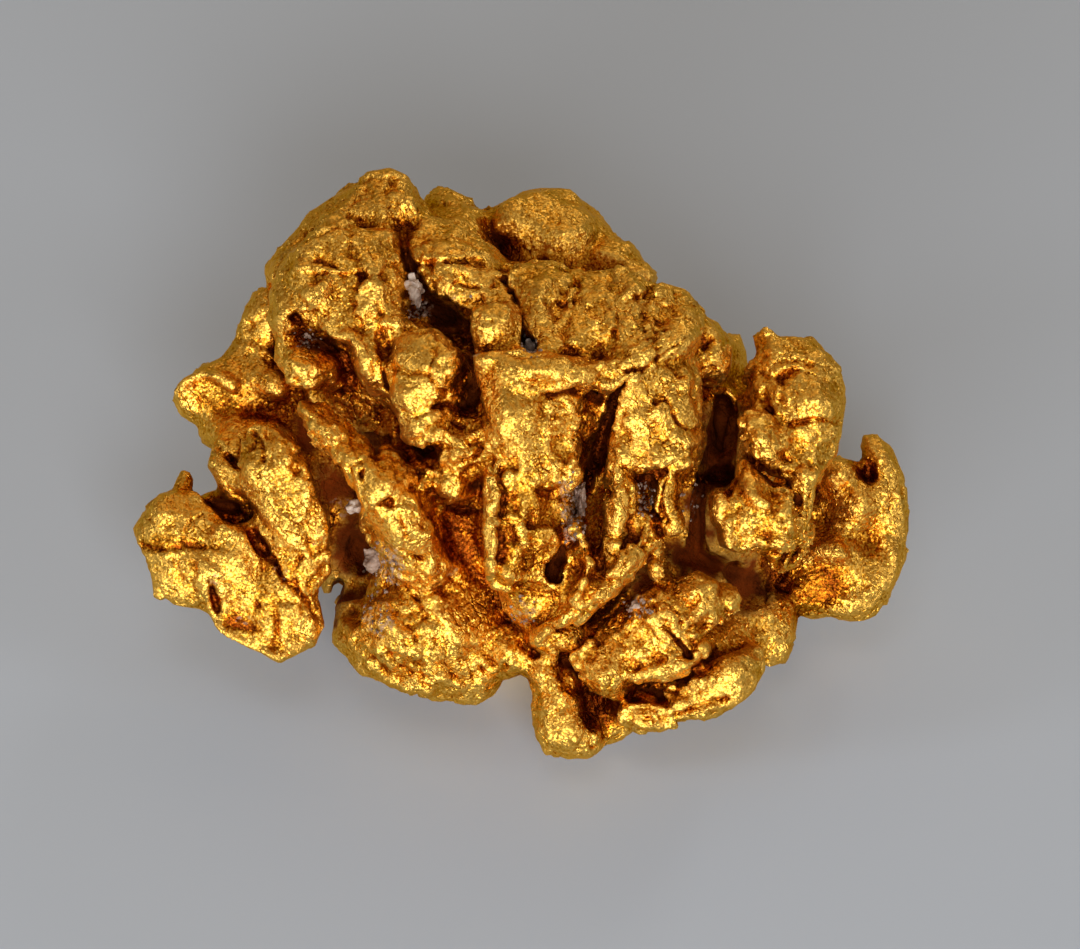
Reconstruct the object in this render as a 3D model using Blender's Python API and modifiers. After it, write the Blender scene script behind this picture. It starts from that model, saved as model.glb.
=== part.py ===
"""A small placer gold nugget, lying on its worn flat underside, with grains of quartz wedged in its clefts.

The nugget is drawn in millimetres in its own face frame: X to the right, Y up the broad face and Z out of it.
Lumps, plates and folds are fused by a voxel remesh, the clefts are cut out, the surface is crumpled, and the
whole is tilted by FACE_TILT, cut flat where it lies, and scaled to metres with +Z up.
"""

import math
import random

import bmesh
import bpy
from mathutils import Matrix, Vector, noise

MM = 0.001

# How the nugget lies
FACE_TILT = 40.0      # degrees that the top of the broad face is raised from lying flat on its back
GROUND = -4.2         # level of the worn flat underside, along world Z from the middle of the face frame

# How finely it is formed
FUSE_VOXEL = 0.1     # grid on which lumps and folds grow together
NUGGET_TRIANGLES = 8600
LUMP_ROUGHNESS = 0.22  # share of a lump's radius by which its surface wanders
SWELL = (1.6, 0.16)   # wavelength and height of the broad crumpling
DIMPLE = (0.62, 0.09)  # wavelength and height of the fine crumpling
SOCKET_GAP = 0.04     # clearance between a quartz grain and the gold round it

# Lumps: x, y, z of the middle, then half width, half height, half depth, then up to three angles in degrees:
# turn about Z (counter-clockwise), nod about X (top edge forward), swing about Y (right edge back).
LUMPS = {
    "core": (
        (0.7, 0.2, -1.0, 3.5, 3.4, 3.0),
        (3.5, -0.8, -1.1, 2.2, 2.8, 2.2),
        (-2.0, 1.7, -0.9, 2.2, 2.3, 2.2),
        (1.3, -2.9, -0.9, 2.9, 1.7, 2.2),
        (-1.4, -1.6, -0.6, 1.4, 2.1, 2.0),
    ),
    "crown": (
        (-3.05, 3.1, 0.6, 1.45, 1.2, 1.6, 0, -12),
        (-3.0, 4.3, -0.7, 1.75, 0.85, 1.4, 35),
        (-2.25, 5.0, -0.7, 0.68, 0.65, 0.9),
        (-4.05, 3.55, 0.2, 0.6, 0.6, 0.9),
        (-4.2, 2.75, 1.0, 0.36, 0.5, 0.8),
        (-4.15, 1.9, 0.8, 0.3, 0.75, 0.7),
        (-3.6, 1.55, 1.1, 0.55, 0.42, 0.7),
        (-2.62, 1.75, 1.5, 0.33, 0.68, 0.75, 25),
        (-2.05, 4.75, 0.0, 0.42, 0.5, 0.6),
        (-3.2, 4.5, 0.25, 0.5, 0.25, 0.6, 20),
    ),
    "ledges": (
        (-0.8, 3.6, -0.2, 0.95, 0.85, 1.4),
        (-1.0, 4.45, -1.2, 0.8, 0.5, 0.8),
        (-1.1, 4.85, -2.0, 0.5, 0.3, 0.6),
        (-0.05, 2.5, 1.3, 0.5, 0.55, 1.1),
        (-0.85, 2.95, 0.9, 0.4, 0.4, 1.0),
    ),
    "top_lobes": (
        (0.9, 4.3, -2.3, 1.2, 1.08, 1.4),
        (1.5, 4.25, -2.2, 0.95, 0.75, 1.1, -25),
        (0.1, 4.5, -2.0, 0.45, 0.45, 0.7),
        (2.3, 3.8, -1.4, 0.65, 0.45, 1.0),
        (2.75, 3.45, -0.9, 0.5, 0.4, 0.8),
    ),
    "brow_bulbs": (
        (0.85, 2.9, 1.0, 0.63, 0.85, 1.4),
        (0.8, 2.2, 1.5, 0.5, 0.4, 1.0),
        (2.0, 3.0, 0.9, 0.55, 0.52, 1.2),
        (1.9, 2.3, 1.3, 0.6, 0.5, 1.1),
        (3.2, 2.6, 0.9, 0.85, 0.72, 1.3),
        (3.6, 2.85, 0.5, 0.45, 0.4, 0.9),
        (4.25, 2.0, 0.3, 0.38, 0.72, 1.2),
        (4.6, 1.9, -1.2, 0.35, 0.5, 0.8),
    ),
    "middle_bulb": (
        (-1.4, 1.3, 1.8, 0.75, 0.9, 1.3),
        (-1.5, 1.95, 2.0, 0.55, 0.38, 0.8),
        (-1.05, 1.6, 2.4, 0.4, 0.38, 0.7),
        (-1.7, 0.95, 2.4, 0.38, 0.33, 0.7),
        (-1.4, 0.42, 2.3, 0.48, 0.36, 0.8),
        (-0.75, 0.3, 2.2, 0.42, 0.28, 0.8),
        (-0.7, -0.15, 2.2, 0.5, 0.24, 0.8),
        (-1.0, -0.75, 1.7, 0.5, 0.35, 0.8),
    ),
    "columns": (
        (0.3, 0.5, 2.1, 0.72, 1.1, 1.5),
        (0.35, -1.3, 1.6, 0.58, 1.6, 1.5),
        (1.25, -0.4, 1.2, 0.5, 1.5, 1.5),
        (1.3, 0.65, 1.5, 0.42, 0.45, 1.2),
        (0.8, -2.95, 1.3, 0.7, 0.55, 1.2),
        (3.0, 0.8, 1.7, 0.85, 1.1, 1.5),
        (3.3, 1.65, 1.3, 0.65, 0.5, 1.2),
        (2.5, 0.0, 1.7, 0.4, 0.7, 1.3),
        (3.5, 0.15, 1.4, 0.42, 0.6, 1.3),
        (3.2, 0.75, 2.95, 0.24, 0.22, 0.35),
    ),
    "rib": (
        (-2.0, -1.05, 1.1, 0.72, 1.1, 1.05),
        (-1.5, -2.3, 1.1, 0.7, 0.5, 1.0),
    ),
    "skirt": (
        (-1.4, -3.5, 0.6, 1.45, 1.1, 1.15),
        (-1.0, -4.3, 0.5, 1.0, 0.62, 0.7),
        (-2.3, -3.95, 0.3, 0.8, 0.65, 0.7, -15),
        (-1.8, -4.4, 0.4, 0.6, 0.42, 0.6, -10),
        (-0.35, -4.75, 0.5, 0.32, 0.3, 0.4),
        (-2.9, -3.5, -0.3, 0.52, 0.6, 0.6),
        (0.2, -4.0, 0.6, 0.5, 0.5, 0.8),
    ),
    "lower_folds": (
        (3.1, -3.4, 1.2, 0.95, 0.9, 1.2),
        (2.4, -3.8, 1.1, 0.8, 0.6, 1.1),
        (3.95, -3.0, 1.8, 0.4, 0.62, 0.6, -5),
        (4.5, -2.85, 1.4, 0.33, 0.4, 0.6),
        (2.1, -4.35, 1.3, 0.6, 0.6, 1.0),
        (3.6, -4.2, 0.3, 1.3, 0.95, 0.9),
        (5.4, -3.55, -0.6, 0.58, 0.75, 0.8),
        (1.95, -5.05, -0.2, 0.65, 0.7, 0.45),
    ),
    "fin": (
        (5.9, 1.15, 0.6, 0.97, 1.05, 1.1),
        (5.5, 2.08, 0.6, 0.24, 0.42, 0.4, 35),
        (6.2, 0.2, 0.6, 0.45, 0.7, 0.9),
        (5.3, 0.15, 1.4, 0.32, 0.75, 0.6, 30),
    ),
    "ear": (
        (6.9, -1.5, -1.5, 1.0, 1.25, 0.85),
        (7.15, -1.1, -0.8, 0.5, 0.45, 0.6),
        (6.75, -0.5, -0.8, 0.4, 0.35, 0.6),
        (6.6, -2.1, -0.6, 0.6, 0.3, 0.6),
        (6.3, -2.6, -1.2, 0.6, 0.7, 0.8),
    ),
    "left_arm": (
        (-5.1, 1.3, -1.2, 1.25, 0.58, 0.9, -6),
        (-4.9, 1.8, -1.4, 0.65, 0.5, 0.8),
        (-6.15, 1.05, -1.0, 0.5, 0.32, 0.5, 8),
        (-5.75, 1.5, -0.9, 0.5, 0.28, 0.5, -25),
        (-5.55, 0.5, -1.0, 0.58, 0.6, 0.7),
        (-4.5, 1.3, -0.3, 0.42, 0.33, 0.5),
        (-4.7, 2.6, -1.3, 0.45, 0.75, 0.8),
        (-4.2, 0.2, -1.5, 1.1, 1.3, 0.9),
    ),
    "left_flap": (
        (-4.25, -0.85, 0.85, 0.78, 1.4, 0.5, 20),
        (-4.0, -2.3, 0.8, 0.7, 0.65, 0.5),
        (-4.3, -3.3, 0.7, 0.75, 0.75, 0.45),
        (-4.35, -3.7, 0.65, 0.65, 0.42, 0.4),
        (-5.2, -3.15, 0.55, 0.85, 0.42, 0.45, -25),
        (-5.2, 0.0, -0.2, 0.58, 0.68, 0.6),
        (-5.3, -0.5, 0.2, 0.33, 0.6, 0.5, 25),
        (-5.3, -2.15, 0.6, 0.7, 0.8, 0.45),
        (-4.4, -1.0, -0.4, 0.7, 1.6, 0.8, 15),
    ),
    "left_lobe": (
        (-6.35, -1.65, 0.1, 0.93, 0.85, 0.75),
        (-6.2, -2.4, 0.3, 0.85, 0.68, 0.6, -30),
        (-6.35, -0.75, -0.2, 0.2, 0.42, 0.25),
        (-5.7, -2.75, 0.4, 0.6, 0.55, 0.45),
    ),
    "back": (
        (0.5, -0.9, -2.9, 3.1, 2.3, 2.2),
        (0.4, -2.9, -1.9, 2.5, 1.7, 1.7),
        (-2.4, 0.9, -2.4, 1.7, 1.8, 1.5),
        (3.3, -0.5, -2.6, 1.8, 1.9, 1.4),
        (0.8, 2.4, -2.9, 1.9, 1.5, 1.3),
        (-1.2, 3.4, -2.0, 1.6, 1.2, 1.0),
        (4.8, 0.3, -1.4, 1.2, 1.3, 1.0),
        (5.3, -1.8, -1.4, 1.3, 1.2, 0.9),
        (-2.3, -2.0, -1.5, 0.75, 1.6, 1.0),
    ),
}

# Plates: the same nine numbers for a flat block
PLATES = {
    "crown": (
        (-3.0, 4.08, 0.65, 0.95, 0.12, 0.75, 8),
        (-3.1, 3.55, 1.05, 1.0, 0.13, 0.85, -2),
        (-2.75, 2.85, 1.6, 0.8, 0.6, 0.6, 0, -14),
    ),
    "ledges": (
        (-0.75, 3.95, 0.5, 0.72, 0.11, 0.9, -6),
        (-0.4, 3.5, 0.8, 0.72, 0.15, 1.0, -3),
        (-0.5, 3.12, 1.0, 0.62, 0.1, 0.9, -4),
    ),
    "flag": (
        (5.05, -1.45, 1.65, 0.75, 0.5, 0.42, -3, 0, -8),
        (4.85, -0.62, 1.65, 0.16, 0.36, 0.24, -12),
        (4.26, -0.98, 1.65, 0.16, 0.3, 0.24, 8),
        (5.4, -1.0, 1.6, 0.38, 0.3, 0.36, -20),
    ),
    "left_flap": (
        (-4.2, -1.0, 1.15, 0.55, 0.95, 0.22, 20),
        (-5.3, -2.1, 0.9, 0.5, 0.55, 0.2, -15),
    ),
}

# Folds: tubes along x, y, z, radius; the number before them stretches the tube along Z
FOLDS = {
    "left_rib": (3.0, (-3.95, 0.95, 1.4, 0.15), (-3.5, 0.5, 1.7, 0.19), (-3.0, -0.05, 1.9, 0.22),
                 (-2.6, -0.75, 2.0, 0.26), (-2.15, -1.5, 2.0, 0.3), (-1.7, -2.1, 1.8, 0.3)),
    "brow": (2.0, (-0.35, 1.6, 2.4, 0.3), (0.4, 1.55, 2.8, 0.35), (1.2, 1.55, 2.9, 0.33),
             (2.0, 1.45, 2.9, 0.29), (2.7, 1.72, 2.7, 0.26), (3.4, 2.12, 2.4, 0.25), (3.9, 2.45, 2.0, 0.23)),
    "column_edge": (5.0, (-0.15, -0.3, 2.8, 0.08), (-0.12, -1.2, 2.9, 0.1), (-0.2, -1.8, 2.9, 0.11),
                    (-0.2, -2.4, 2.7, 0.09)),
    "narrow_column": (3.0, (2.4, -0.3, 2.4, 0.27), (2.35, -1.0, 2.5, 0.23), (2.3, -1.7, 2.5, 0.2),
                      (2.2, -2.3, 2.4, 0.2)),
    "side_arm": (3.0, (3.4, -0.3, 2.1, 0.24), (3.35, -1.0, 2.1, 0.26), (3.45, -1.6, 2.0, 0.2)),
    "slanting_plate": (4.0, (3.0, -1.75, 2.4, 0.11), (2.5, -2.2, 2.5, 0.17), (2.0, -2.7, 2.5, 0.2),
                       (1.4, -3.15, 2.4, 0.18), (0.7, -3.65, 2.2, 0.15)),
    "cleft_blade": (4.0, (1.36, -1.25, 2.3, 0.06), (1.55, -1.9, 2.5, 0.14), (1.65, -2.5, 2.5, 0.18),
                    (1.5, -3.0, 2.4, 0.18)),
    "strand": (4.0, (3.1, -1.3, 2.1, 0.08), (3.1, -2.55, 2.0, 0.09)),
    "flake_rim": (3.0, (2.6, -4.4, 2.0, 0.14), (3.2, -4.3, 2.1, 0.14), (3.8, -4.15, 2.1, 0.15),
                  (4.2, -3.75, 2.0, 0.16), (4.6, -3.4, 1.8, 0.15), (5.2, -3.0, 1.4, 0.15),
                  (5.5, -2.4, 1.3, 0.16)),
    "lower_rim": (2.5, (2.3, -5.1, 0.9, 0.25), (2.9, -5.25, 1.1, 0.24), (3.7, -5.15, 1.2, 0.25),
                  (4.4, -4.95, 1.1, 0.28), (4.88, -4.45, 0.9, 0.28), (5.05, -3.9, 0.7, 0.25)),
    "lower_roll": (2.0, (3.7, -4.75, 1.5, 0.2), (4.4, -4.4, 1.5, 0.22), (4.85, -4.1, 1.3, 0.2)),
    "tooth": (1.4, (0.9, -4.2, 0.9, 0.42), (1.08, -5.0, 1.0, 0.48), (1.35, -5.55, 1.0, 0.58),
              (1.5, -5.95, 0.9, 0.44), (1.52, -6.15, 0.9, 0.3)),
    "cup_rim": (1.8, (1.8, -5.82, 0.4, 0.26), (2.2, -5.75, 0.2, 0.22), (2.5, -5.55, 0.2, 0.22),
                (2.55, -5.1, 0.4, 0.24)),
    "side_band": (2.5, (6.1, -0.3, 1.2, 0.28), (6.05, -1.0, 1.1, 0.25), (5.85, -1.7, 1.1, 0.22),
                  (5.55, -2.3, 1.2, 0.2)),
    "ear_rim": (1.6, (7.42, 0.3, -1.3, 0.23), (7.72, -0.3, -1.1, 0.27), (7.92, -1.1, -1.0, 0.27),
                (7.88, -1.9, -1.0, 0.3), (7.62, -2.6, -0.9, 0.36), (7.2, -3.05, -0.9, 0.42),
                (6.7, -2.95, -1.0, 0.36)),
}

# Pits: lumps that are cut out
PITS = {
    "right_cleft": (
        (4.45, 0.3, 1.9, 0.44, 1.25, 2.9),
        (4.1, -1.3, 1.8, 0.3, 0.7, 1.8),
        (3.85, -2.2, 1.8, 0.65, 0.3, 1.4),
        (4.75, -2.38, 1.6, 0.5, 0.24, 1.2),
        (5.02, -2.9, 1.4, 0.2, 0.4, 1.0),
    ),
    "column_pits": (
        (1.1, -2.3, 2.7, 0.2, 0.42, 1.1, -33),
        (2.88, -0.75, 2.6, 0.14, 0.34, 1.0),
        (-0.72, -1.85, 2.5, 0.4, 0.46, 1.4),
        (-0.65, -0.95, 2.5, 0.22, 0.14, 0.6),
        (-0.9, -2.85, 2.0, 0.42, 0.2, 0.7, -25),
        (0.45, -3.82, 2.0, 0.13, 0.26, 1.1),
    ),
    "left_gap": (
        (-2.85, -2.1, 0.6, 0.42, 0.62, 1.9),
        (-3.28, -2.78, 0.0, 0.18, 0.22, 3.0),
        (-3.0, -3.25, 0.8, 0.33, 0.33, 0.8),
        (-2.75, 0.75, 1.9, 0.5, 0.27, 1.3, -25),
        (-2.4, 0.1, 1.9, 0.22, 0.55, 1.2, 10),
        (-5.5, -1.12, 0.6, 0.5, 0.2, 1.2, -15),
    ),
    "lower_hollows": (
        (3.2, -4.85, 1.9, 0.3, 0.28, 1.0),
        (1.95, -5.1, 1.0, 0.4, 0.48, 0.9),
        (1.5, -4.5, 1.4, 0.14, 0.42, 0.7, 25),
        (-4.85, -3.15, 1.0, 0.16, 0.11, 0.35),
    ),
    "ear_scoops": (
        (7.35, -0.35, -0.4, 0.4, 0.26, 0.5, -20),
        (7.55, -1.6, -0.2, 0.3, 0.22, 0.4, -10),
        (6.7, -2.6, -0.4, 0.42, 0.16, 0.6, -8),
    ),
    "top_dimples": (
        (1.4, 3.58, 0.4, 0.2, 0.15, 0.8),
        (-2.4, 5.05, 0.2, 0.14, 0.35, 0.5, -20),
    ),
}

# Clefts: folds that are cut out
CLEFTS = {
    "long_cleft": (12.0, (2.45, 1.45, 3.0, 0.06), (2.2, 1.2, 3.0, 0.13), (2.0, 0.8, 2.9, 0.17),
                   (1.95, 0.4, 2.9, 0.19), (1.88, -0.1, 2.8, 0.2), (1.8, -0.6, 2.7, 0.2),
                   (1.8, -1.2, 2.6, 0.18), (1.93, -1.7, 2.6, 0.16), (1.95, -2.0, 2.6, 0.12),
                   (1.87, -2.55, 2.6, 0.05)),
    "crown_cleft": (8.0, (-1.85, 4.15, 1.2, 0.08), (-1.8, 3.6, 1.5, 0.11), (-1.7, 3.2, 1.8, 0.15),
                    (-1.4, 2.8, 2.0, 0.2), (-1.05, 2.6, 2.2, 0.25), (-0.75, 2.4, 2.4, 0.2),
                    (-0.5, 2.15, 2.6, 0.1), (-0.42, 1.9, 2.8, 0.06)),
    "bulb_cleft": (6.0, (-0.45, 1.75, 3.0, 0.08), (-0.65, 1.4, 3.0, 0.14), (-0.75, 1.0, 3.0, 0.12),
                   (-0.6, 0.65, 2.9, 0.08)),
    "brow_crack": (8.0, (0.05, 3.4, 1.6, 0.08), (0.28, 3.05, 1.9, 0.11), (0.42, 2.7, 2.1, 0.1),
                   (0.48, 2.4, 2.3, 0.1), (0.65, 2.1, 2.5, 0.11), (0.75, 1.85, 2.6, 0.06)),
    "slanting_gap": (7.0, (3.0, -2.05, 2.4, 0.08), (2.85, -2.35, 2.4, 0.14), (2.55, -2.85, 2.4, 0.14),
                     (2.2, -3.25, 2.3, 0.11), (1.6, -3.65, 2.2, 0.07)),
    "left_gap": (4.0, (-4.6, 0.95, 0.4, 0.18), (-4.15, 0.5, 0.7, 0.28), (-3.75, -0.1, 0.9, 0.33),
                 (-3.4, -0.8, 1.0, 0.3), (-3.05, -1.6, 1.1, 0.33), (-2.92, -2.2, 1.1, 0.35)),
    "crown_trench": (3.5, (-4.05, 2.65, 1.6, 0.1), (-3.85, 2.35, 1.8, 0.17), (-3.5, 2.05, 1.9, 0.18),
                     (-3.1, 1.9, 2.0, 0.17), (-2.98, 1.55, 2.0, 0.13), (-2.85, 1.2, 2.0, 0.15)),
    "drip_trench": (5.0, (-2.2, 1.95, 2.3, 0.07), (-2.28, 1.55, 2.2, 0.12), (-2.12, 1.1, 2.2, 0.08)),
    "fin_crack": (6.0, (5.1, 1.25, 1.5, 0.06), (5.3, 0.9, 1.7, 0.09), (5.55, 0.5, 1.8, 0.08),
                  (5.75, 0.1, 1.7, 0.05)),
    "flag_crack": (6.0, (4.95, -0.15, 1.9, 0.09), (5.35, -0.6, 2.0, 0.08), (5.8, -0.8, 1.9, 0.06),
                   (5.92, -1.2, 1.7, 0.05)),
    "flake_crack": (5.0, (2.98, -3.2, 2.5, 0.05), (3.4, -3.65, 2.5, 0.07), (3.75, -4.1, 2.4, 0.07)),
    "rim_groove": (5.0, (2.7, -4.55, 2.1, 0.06), (3.9, -4.5, 2.1, 0.07), (4.35, -4.05, 1.9, 0.09),
                   (5.0, -3.65, 1.7, 0.08)),
    "flap_slot": (6.0, (-5.62, 0.05, 0.6, 0.08), (-5.15, -0.5, 0.7, 0.09)),
    "flap_groove": (4.0, (-5.0, -1.45, 1.1, 0.09), (-4.75, -1.95, 1.2, 0.11), (-4.4, -2.3, 1.3, 0.06)),
    "lobe_crack": (4.0, (-5.68, -2.55, 0.9, 0.06), (-5.6, -3.1, 0.9, 0.08), (-5.2, -3.5, 0.9, 0.07),
                   (-4.8, -3.65, 0.9, 0.05)),
    "arm_scoop": (2.5, (-5.95, 1.35, -0.5, 0.1), (-5.6, 0.95, -0.3, 0.15), (-5.0, 0.85, -0.3, 0.1)),
}

# Quartz grains: the same numbers as a lump, and a colour
QUARTZ = {
    "quartz_left_hollow": ((-2.35, -2.15, 0.5, 0.42, 0.5, 0.4, 15), (0.33, 0.24, 0.17)),
    "quartz_left_pebble": ((-2.86, -1.15, 0.75, 0.2, 0.2, 0.2), (0.62, 0.55, 0.48)),
    "quartz_upper_cleft": ((-1.68, 3.05, 1.3, 0.16, 0.42, 0.3, 15), (0.6, 0.5, 0.46)),
    "quartz_mid_crack": ((0.6, 2.0, 2.2, 0.13, 0.22, 0.25, 25), (0.75, 0.7, 0.62)),
    "quartz_long_cleft": ((1.6, -1.0, 2.2, 0.12, 0.42, 0.35), (0.45, 0.36, 0.34)),
    "quartz_lower_notch": ((2.72, -3.1, 1.95, 0.2, 0.17, 0.3, -30), (0.55, 0.48, 0.42)),
}

# The unseen back: seeded lumps on the shell of the core, and cracks that wander over it
BACK_SEED = 17
BACK_LUMPS = 40
BACK_CRACKS = 16
BACK_SHELL = (0.7, 0.1, -1.3, 4.3, 3.5, 3.2)
BACK_REACH = 0.85     # how near to the rim of that shell they come


def clear_scene():
    for obj in list(bpy.data.objects):
        bpy.data.objects.remove(obj, do_unlink=True)


def new_collection(name):
    made = bpy.data.collections.new(name)
    bpy.context.scene.collection.children.link(made)
    return made


def placed(x, y, z, width, height, depth, turn=0.0, nod=0.0, swing=0.0):
    """The matrix that stretches a unit shape, turns it and puts it in its place."""
    turned = (
        Matrix.Rotation(math.radians(turn), 4, "Z")
        @ Matrix.Rotation(math.radians(swing), 4, "Y")
        @ Matrix.Rotation(math.radians(nod), 4, "X")
    )
    return Matrix.Translation((x, y, z)) @ turned @ Matrix.Diagonal((width, height, depth, 1.0))


def add_lump(mesh, row, roughness=LUMP_ROUGHNESS, subdivisions=3, grow=0.0):
    """A ball with an uneven surface, stretched and placed by its row."""
    verts = bmesh.ops.create_icosphere(mesh, subdivisions=subdivisions, radius=1.0)["verts"]
    shift = Vector(row[:3]) * 3.7
    for vert in verts:
        vert.co *= 1.0 + roughness * noise.noise(vert.co * 1.9 + shift)
    sizes = (size + grow for size in row[3:6])
    bmesh.ops.transform(mesh, matrix=placed(*row[:3], *sizes, *row[6:]), verts=verts)


def add_plate(mesh, row):
    verts = bmesh.ops.create_cube(mesh, size=2.0)["verts"]
    bmesh.ops.transform(mesh, matrix=placed(*row), verts=verts)


def fold_mesh(stretch, *stops):
    """A tube of changing radius through the stops, stretched along Z, with closed ends."""
    curve = bpy.data.curves.new("fold", "CURVE")
    curve.dimensions = "3D"
    curve.resolution_u = 4
    curve.bevel_depth = 1.0
    curve.bevel_resolution = 2
    curve.use_fill_caps = True
    spline = curve.splines.new("BEZIER")
    spline.bezier_points.add(len(stops) - 1)
    for point, (x, y, z, radius) in zip(spline.bezier_points, stops):
        point.co = (x, y, z / stretch)
        point.handle_left_type = "AUTO"
        point.handle_right_type = "AUTO"
        point.radius = radius
    obj = bpy.data.objects.new("fold", curve)
    bpy.context.scene.collection.objects.link(obj)
    bpy.context.view_layer.update()
    seen = obj.evaluated_get(bpy.context.evaluated_depsgraph_get())
    mesh = bpy.data.meshes.new_from_object(seen)
    mesh.transform(Matrix.Diagonal((1.0, 1.0, stretch, 1.0)))
    bpy.data.objects.remove(obj, do_unlink=True)
    bpy.data.curves.remove(curve)
    return mesh


def add_fold(mesh, fold):
    made = fold_mesh(*fold)
    mesh.from_mesh(made)
    bpy.data.meshes.remove(made)


def back_lumps(chance):
    """Lumps scattered over the half of the core's shell that faces away."""
    x, y, z, width, height, depth = BACK_SHELL
    for _ in range(BACK_LUMPS):
        around = chance.uniform(0.0, math.tau)
        out = BACK_REACH * chance.uniform(0.0, 1.0) ** 0.5
        size = chance.uniform(0.45, 0.95)
        place = (
            x + width * out * math.cos(around),
            y + height * out * math.sin(around),
            z - depth * math.sqrt(1.0 - out * out),
        )
        sizes = (size * chance.uniform(0.8, 1.5), size * chance.uniform(0.7, 1.1), size * 0.75)
        yield (*place, *sizes, chance.uniform(-60.0, 60.0))


def back_cracks(chance):
    """Cracks that wander over the same shell."""
    x, y, z, width, height, depth = BACK_SHELL
    for _ in range(BACK_CRACKS):
        around = chance.uniform(0.0, math.tau)
        out = chance.uniform(0.1, 0.9)
        heading = chance.uniform(0.0, math.tau)
        across = out * math.cos(around)
        along = out * math.sin(around)
        stops = []
        for step in range(5):
            reach = min(0.97, math.hypot(across, along))
            level = z - 1.08 * depth * math.sqrt(1.0 - 0.9 * reach * reach)
            radius = (0.06, 0.13, 0.17, 0.12, 0.05)[step]
            stops.append((x + width * across, y + height * along, level, radius))
            heading += chance.uniform(-0.7, 0.7)
            across += 0.13 * math.cos(heading)
            along += 0.15 * math.sin(heading)
        yield (4.5, *stops)


def object_from(mesh, name, home):
    data = bpy.data.meshes.new(name)
    mesh.to_mesh(data)
    mesh.free()
    obj = bpy.data.objects.new(name, data)
    home.objects.link(obj)
    return obj


def settle(obj):
    """Applies the object's modifiers."""
    bpy.context.view_layer.update()
    seen = obj.evaluated_get(bpy.context.evaluated_depsgraph_get())
    made = bpy.data.meshes.new_from_object(seen)
    old = obj.data
    obj.modifiers.clear()
    obj.data = made
    bpy.data.meshes.remove(old)


def fuse(obj):
    remesh = obj.modifiers.new("fuse", "REMESH")
    remesh.mode = "VOXEL"
    remesh.voxel_size = FUSE_VOXEL
    settle(obj)


def crumple(obj, wavelength, height):
    texture = bpy.data.textures.new("crumple", "CLOUDS")
    texture.noise_scale = wavelength
    texture.noise_depth = 1
    push = obj.modifiers.new("crumple", "DISPLACE")
    push.texture = texture
    push.texture_coords = "LOCAL"
    push.mid_level = 0.5
    push.strength = 2.0 * height
    settle(obj)


def relax(obj, factor, repeats):
    smooth = obj.modifiers.new("relax", "SMOOTH")
    smooth.factor = factor
    smooth.iterations = repeats
    settle(obj)


def keep_largest(obj):
    """Drops crumbs and sealed bubbles: only the largest connected surface stays."""
    mesh = bmesh.new()
    mesh.from_mesh(obj.data)
    left = set(mesh.verts)
    islands = []
    while left:
        front = [left.pop()]
        island = list(front)
        while front:
            vert = front.pop()
            for edge in vert.link_edges:
                other = edge.other_vert(vert)
                if other in left:
                    left.discard(other)
                    front.append(other)
                    island.append(other)
        islands.append(island)
    islands.sort(key=len)
    crumbs = [vert for island in islands[:-1] for vert in island]
    bmesh.ops.delete(mesh, geom=crumbs, context="VERTS")
    mesh.to_mesh(obj.data)
    mesh.free()


def cut(obj, cutter, solver="EXACT"):
    knife = obj.modifiers.new("cut", "BOOLEAN")
    knife.operation = "DIFFERENCE"
    knife.solver = solver
    knife.object = cutter
    settle(obj)


def thin_to(obj, triangles):
    obj.data.calc_loop_triangles()
    thin = obj.modifiers.new("thin", "DECIMATE")
    thin.ratio = triangles / len(obj.data.loop_triangles)
    thin.use_collapse_triangulate = True
    settle(obj)


def form_of_gold(home, chance):
    """Every lump, plate and fold, grown together."""
    mesh = bmesh.new()
    for rows in LUMPS.values():
        for row in rows:
            add_lump(mesh, row)
    for row in back_lumps(chance):
        add_lump(mesh, row)
    for rows in PLATES.values():
        for row in rows:
            add_plate(mesh, row)
    for fold in FOLDS.values():
        add_fold(mesh, fold)
    obj = object_from(mesh, "nugget", home)
    fuse(obj)
    return obj


def form_of_clefts(home, chance):
    """Every pit and cleft, grown together into one cutter."""
    mesh = bmesh.new()
    for rows in PITS.values():
        for row in rows:
            add_lump(mesh, row)
    for cleft in CLEFTS.values():
        add_fold(mesh, cleft)
    for crack in back_cracks(chance):
        add_fold(mesh, crack)
    obj = object_from(mesh, "clefts", home)
    fuse(obj)
    hide_cutter(obj)
    return obj


def hide_cutter(obj):
    obj.display_type = "WIRE"
    obj.hide_render = True


def gold():
    made = bpy.data.materials.new("native_gold")
    made.use_nodes = True
    shader = made.node_tree.nodes["Principled BSDF"]
    shader.inputs["Base Color"].default_value = (0.72, 0.42, 0.07, 1.0)
    shader.inputs["Metallic"].default_value = 1.0
    shader.inputs["Roughness"].default_value = 0.38
    return made


def quartz(name, colour):
    made = bpy.data.materials.new(name)
    made.use_nodes = True
    shader = made.node_tree.nodes["Principled BSDF"]
    shader.inputs["Base Color"].default_value = (*colour, 1.0)
    shader.inputs["Roughness"].default_value = 0.55
    return made


def grain(name, row, home, grow=0.0):
    mesh = bmesh.new()
    add_lump(mesh, row, roughness=0.3, subdivisions=2, grow=grow)
    return object_from(mesh, name, home)


def ground_block(home):
    """The block that the flat underside is cut with, in the face frame."""
    half = 14.0
    mesh = bmesh.new()
    bmesh.ops.create_cube(mesh, size=2.0 * half)
    obj = object_from(mesh, "ground", home)
    level = Matrix.Rotation(math.radians(-FACE_TILT), 4, "X")
    obj.data.transform(level @ Matrix.Translation((0.0, 0.0, GROUND - half)))
    hide_cutter(obj)
    return obj


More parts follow.
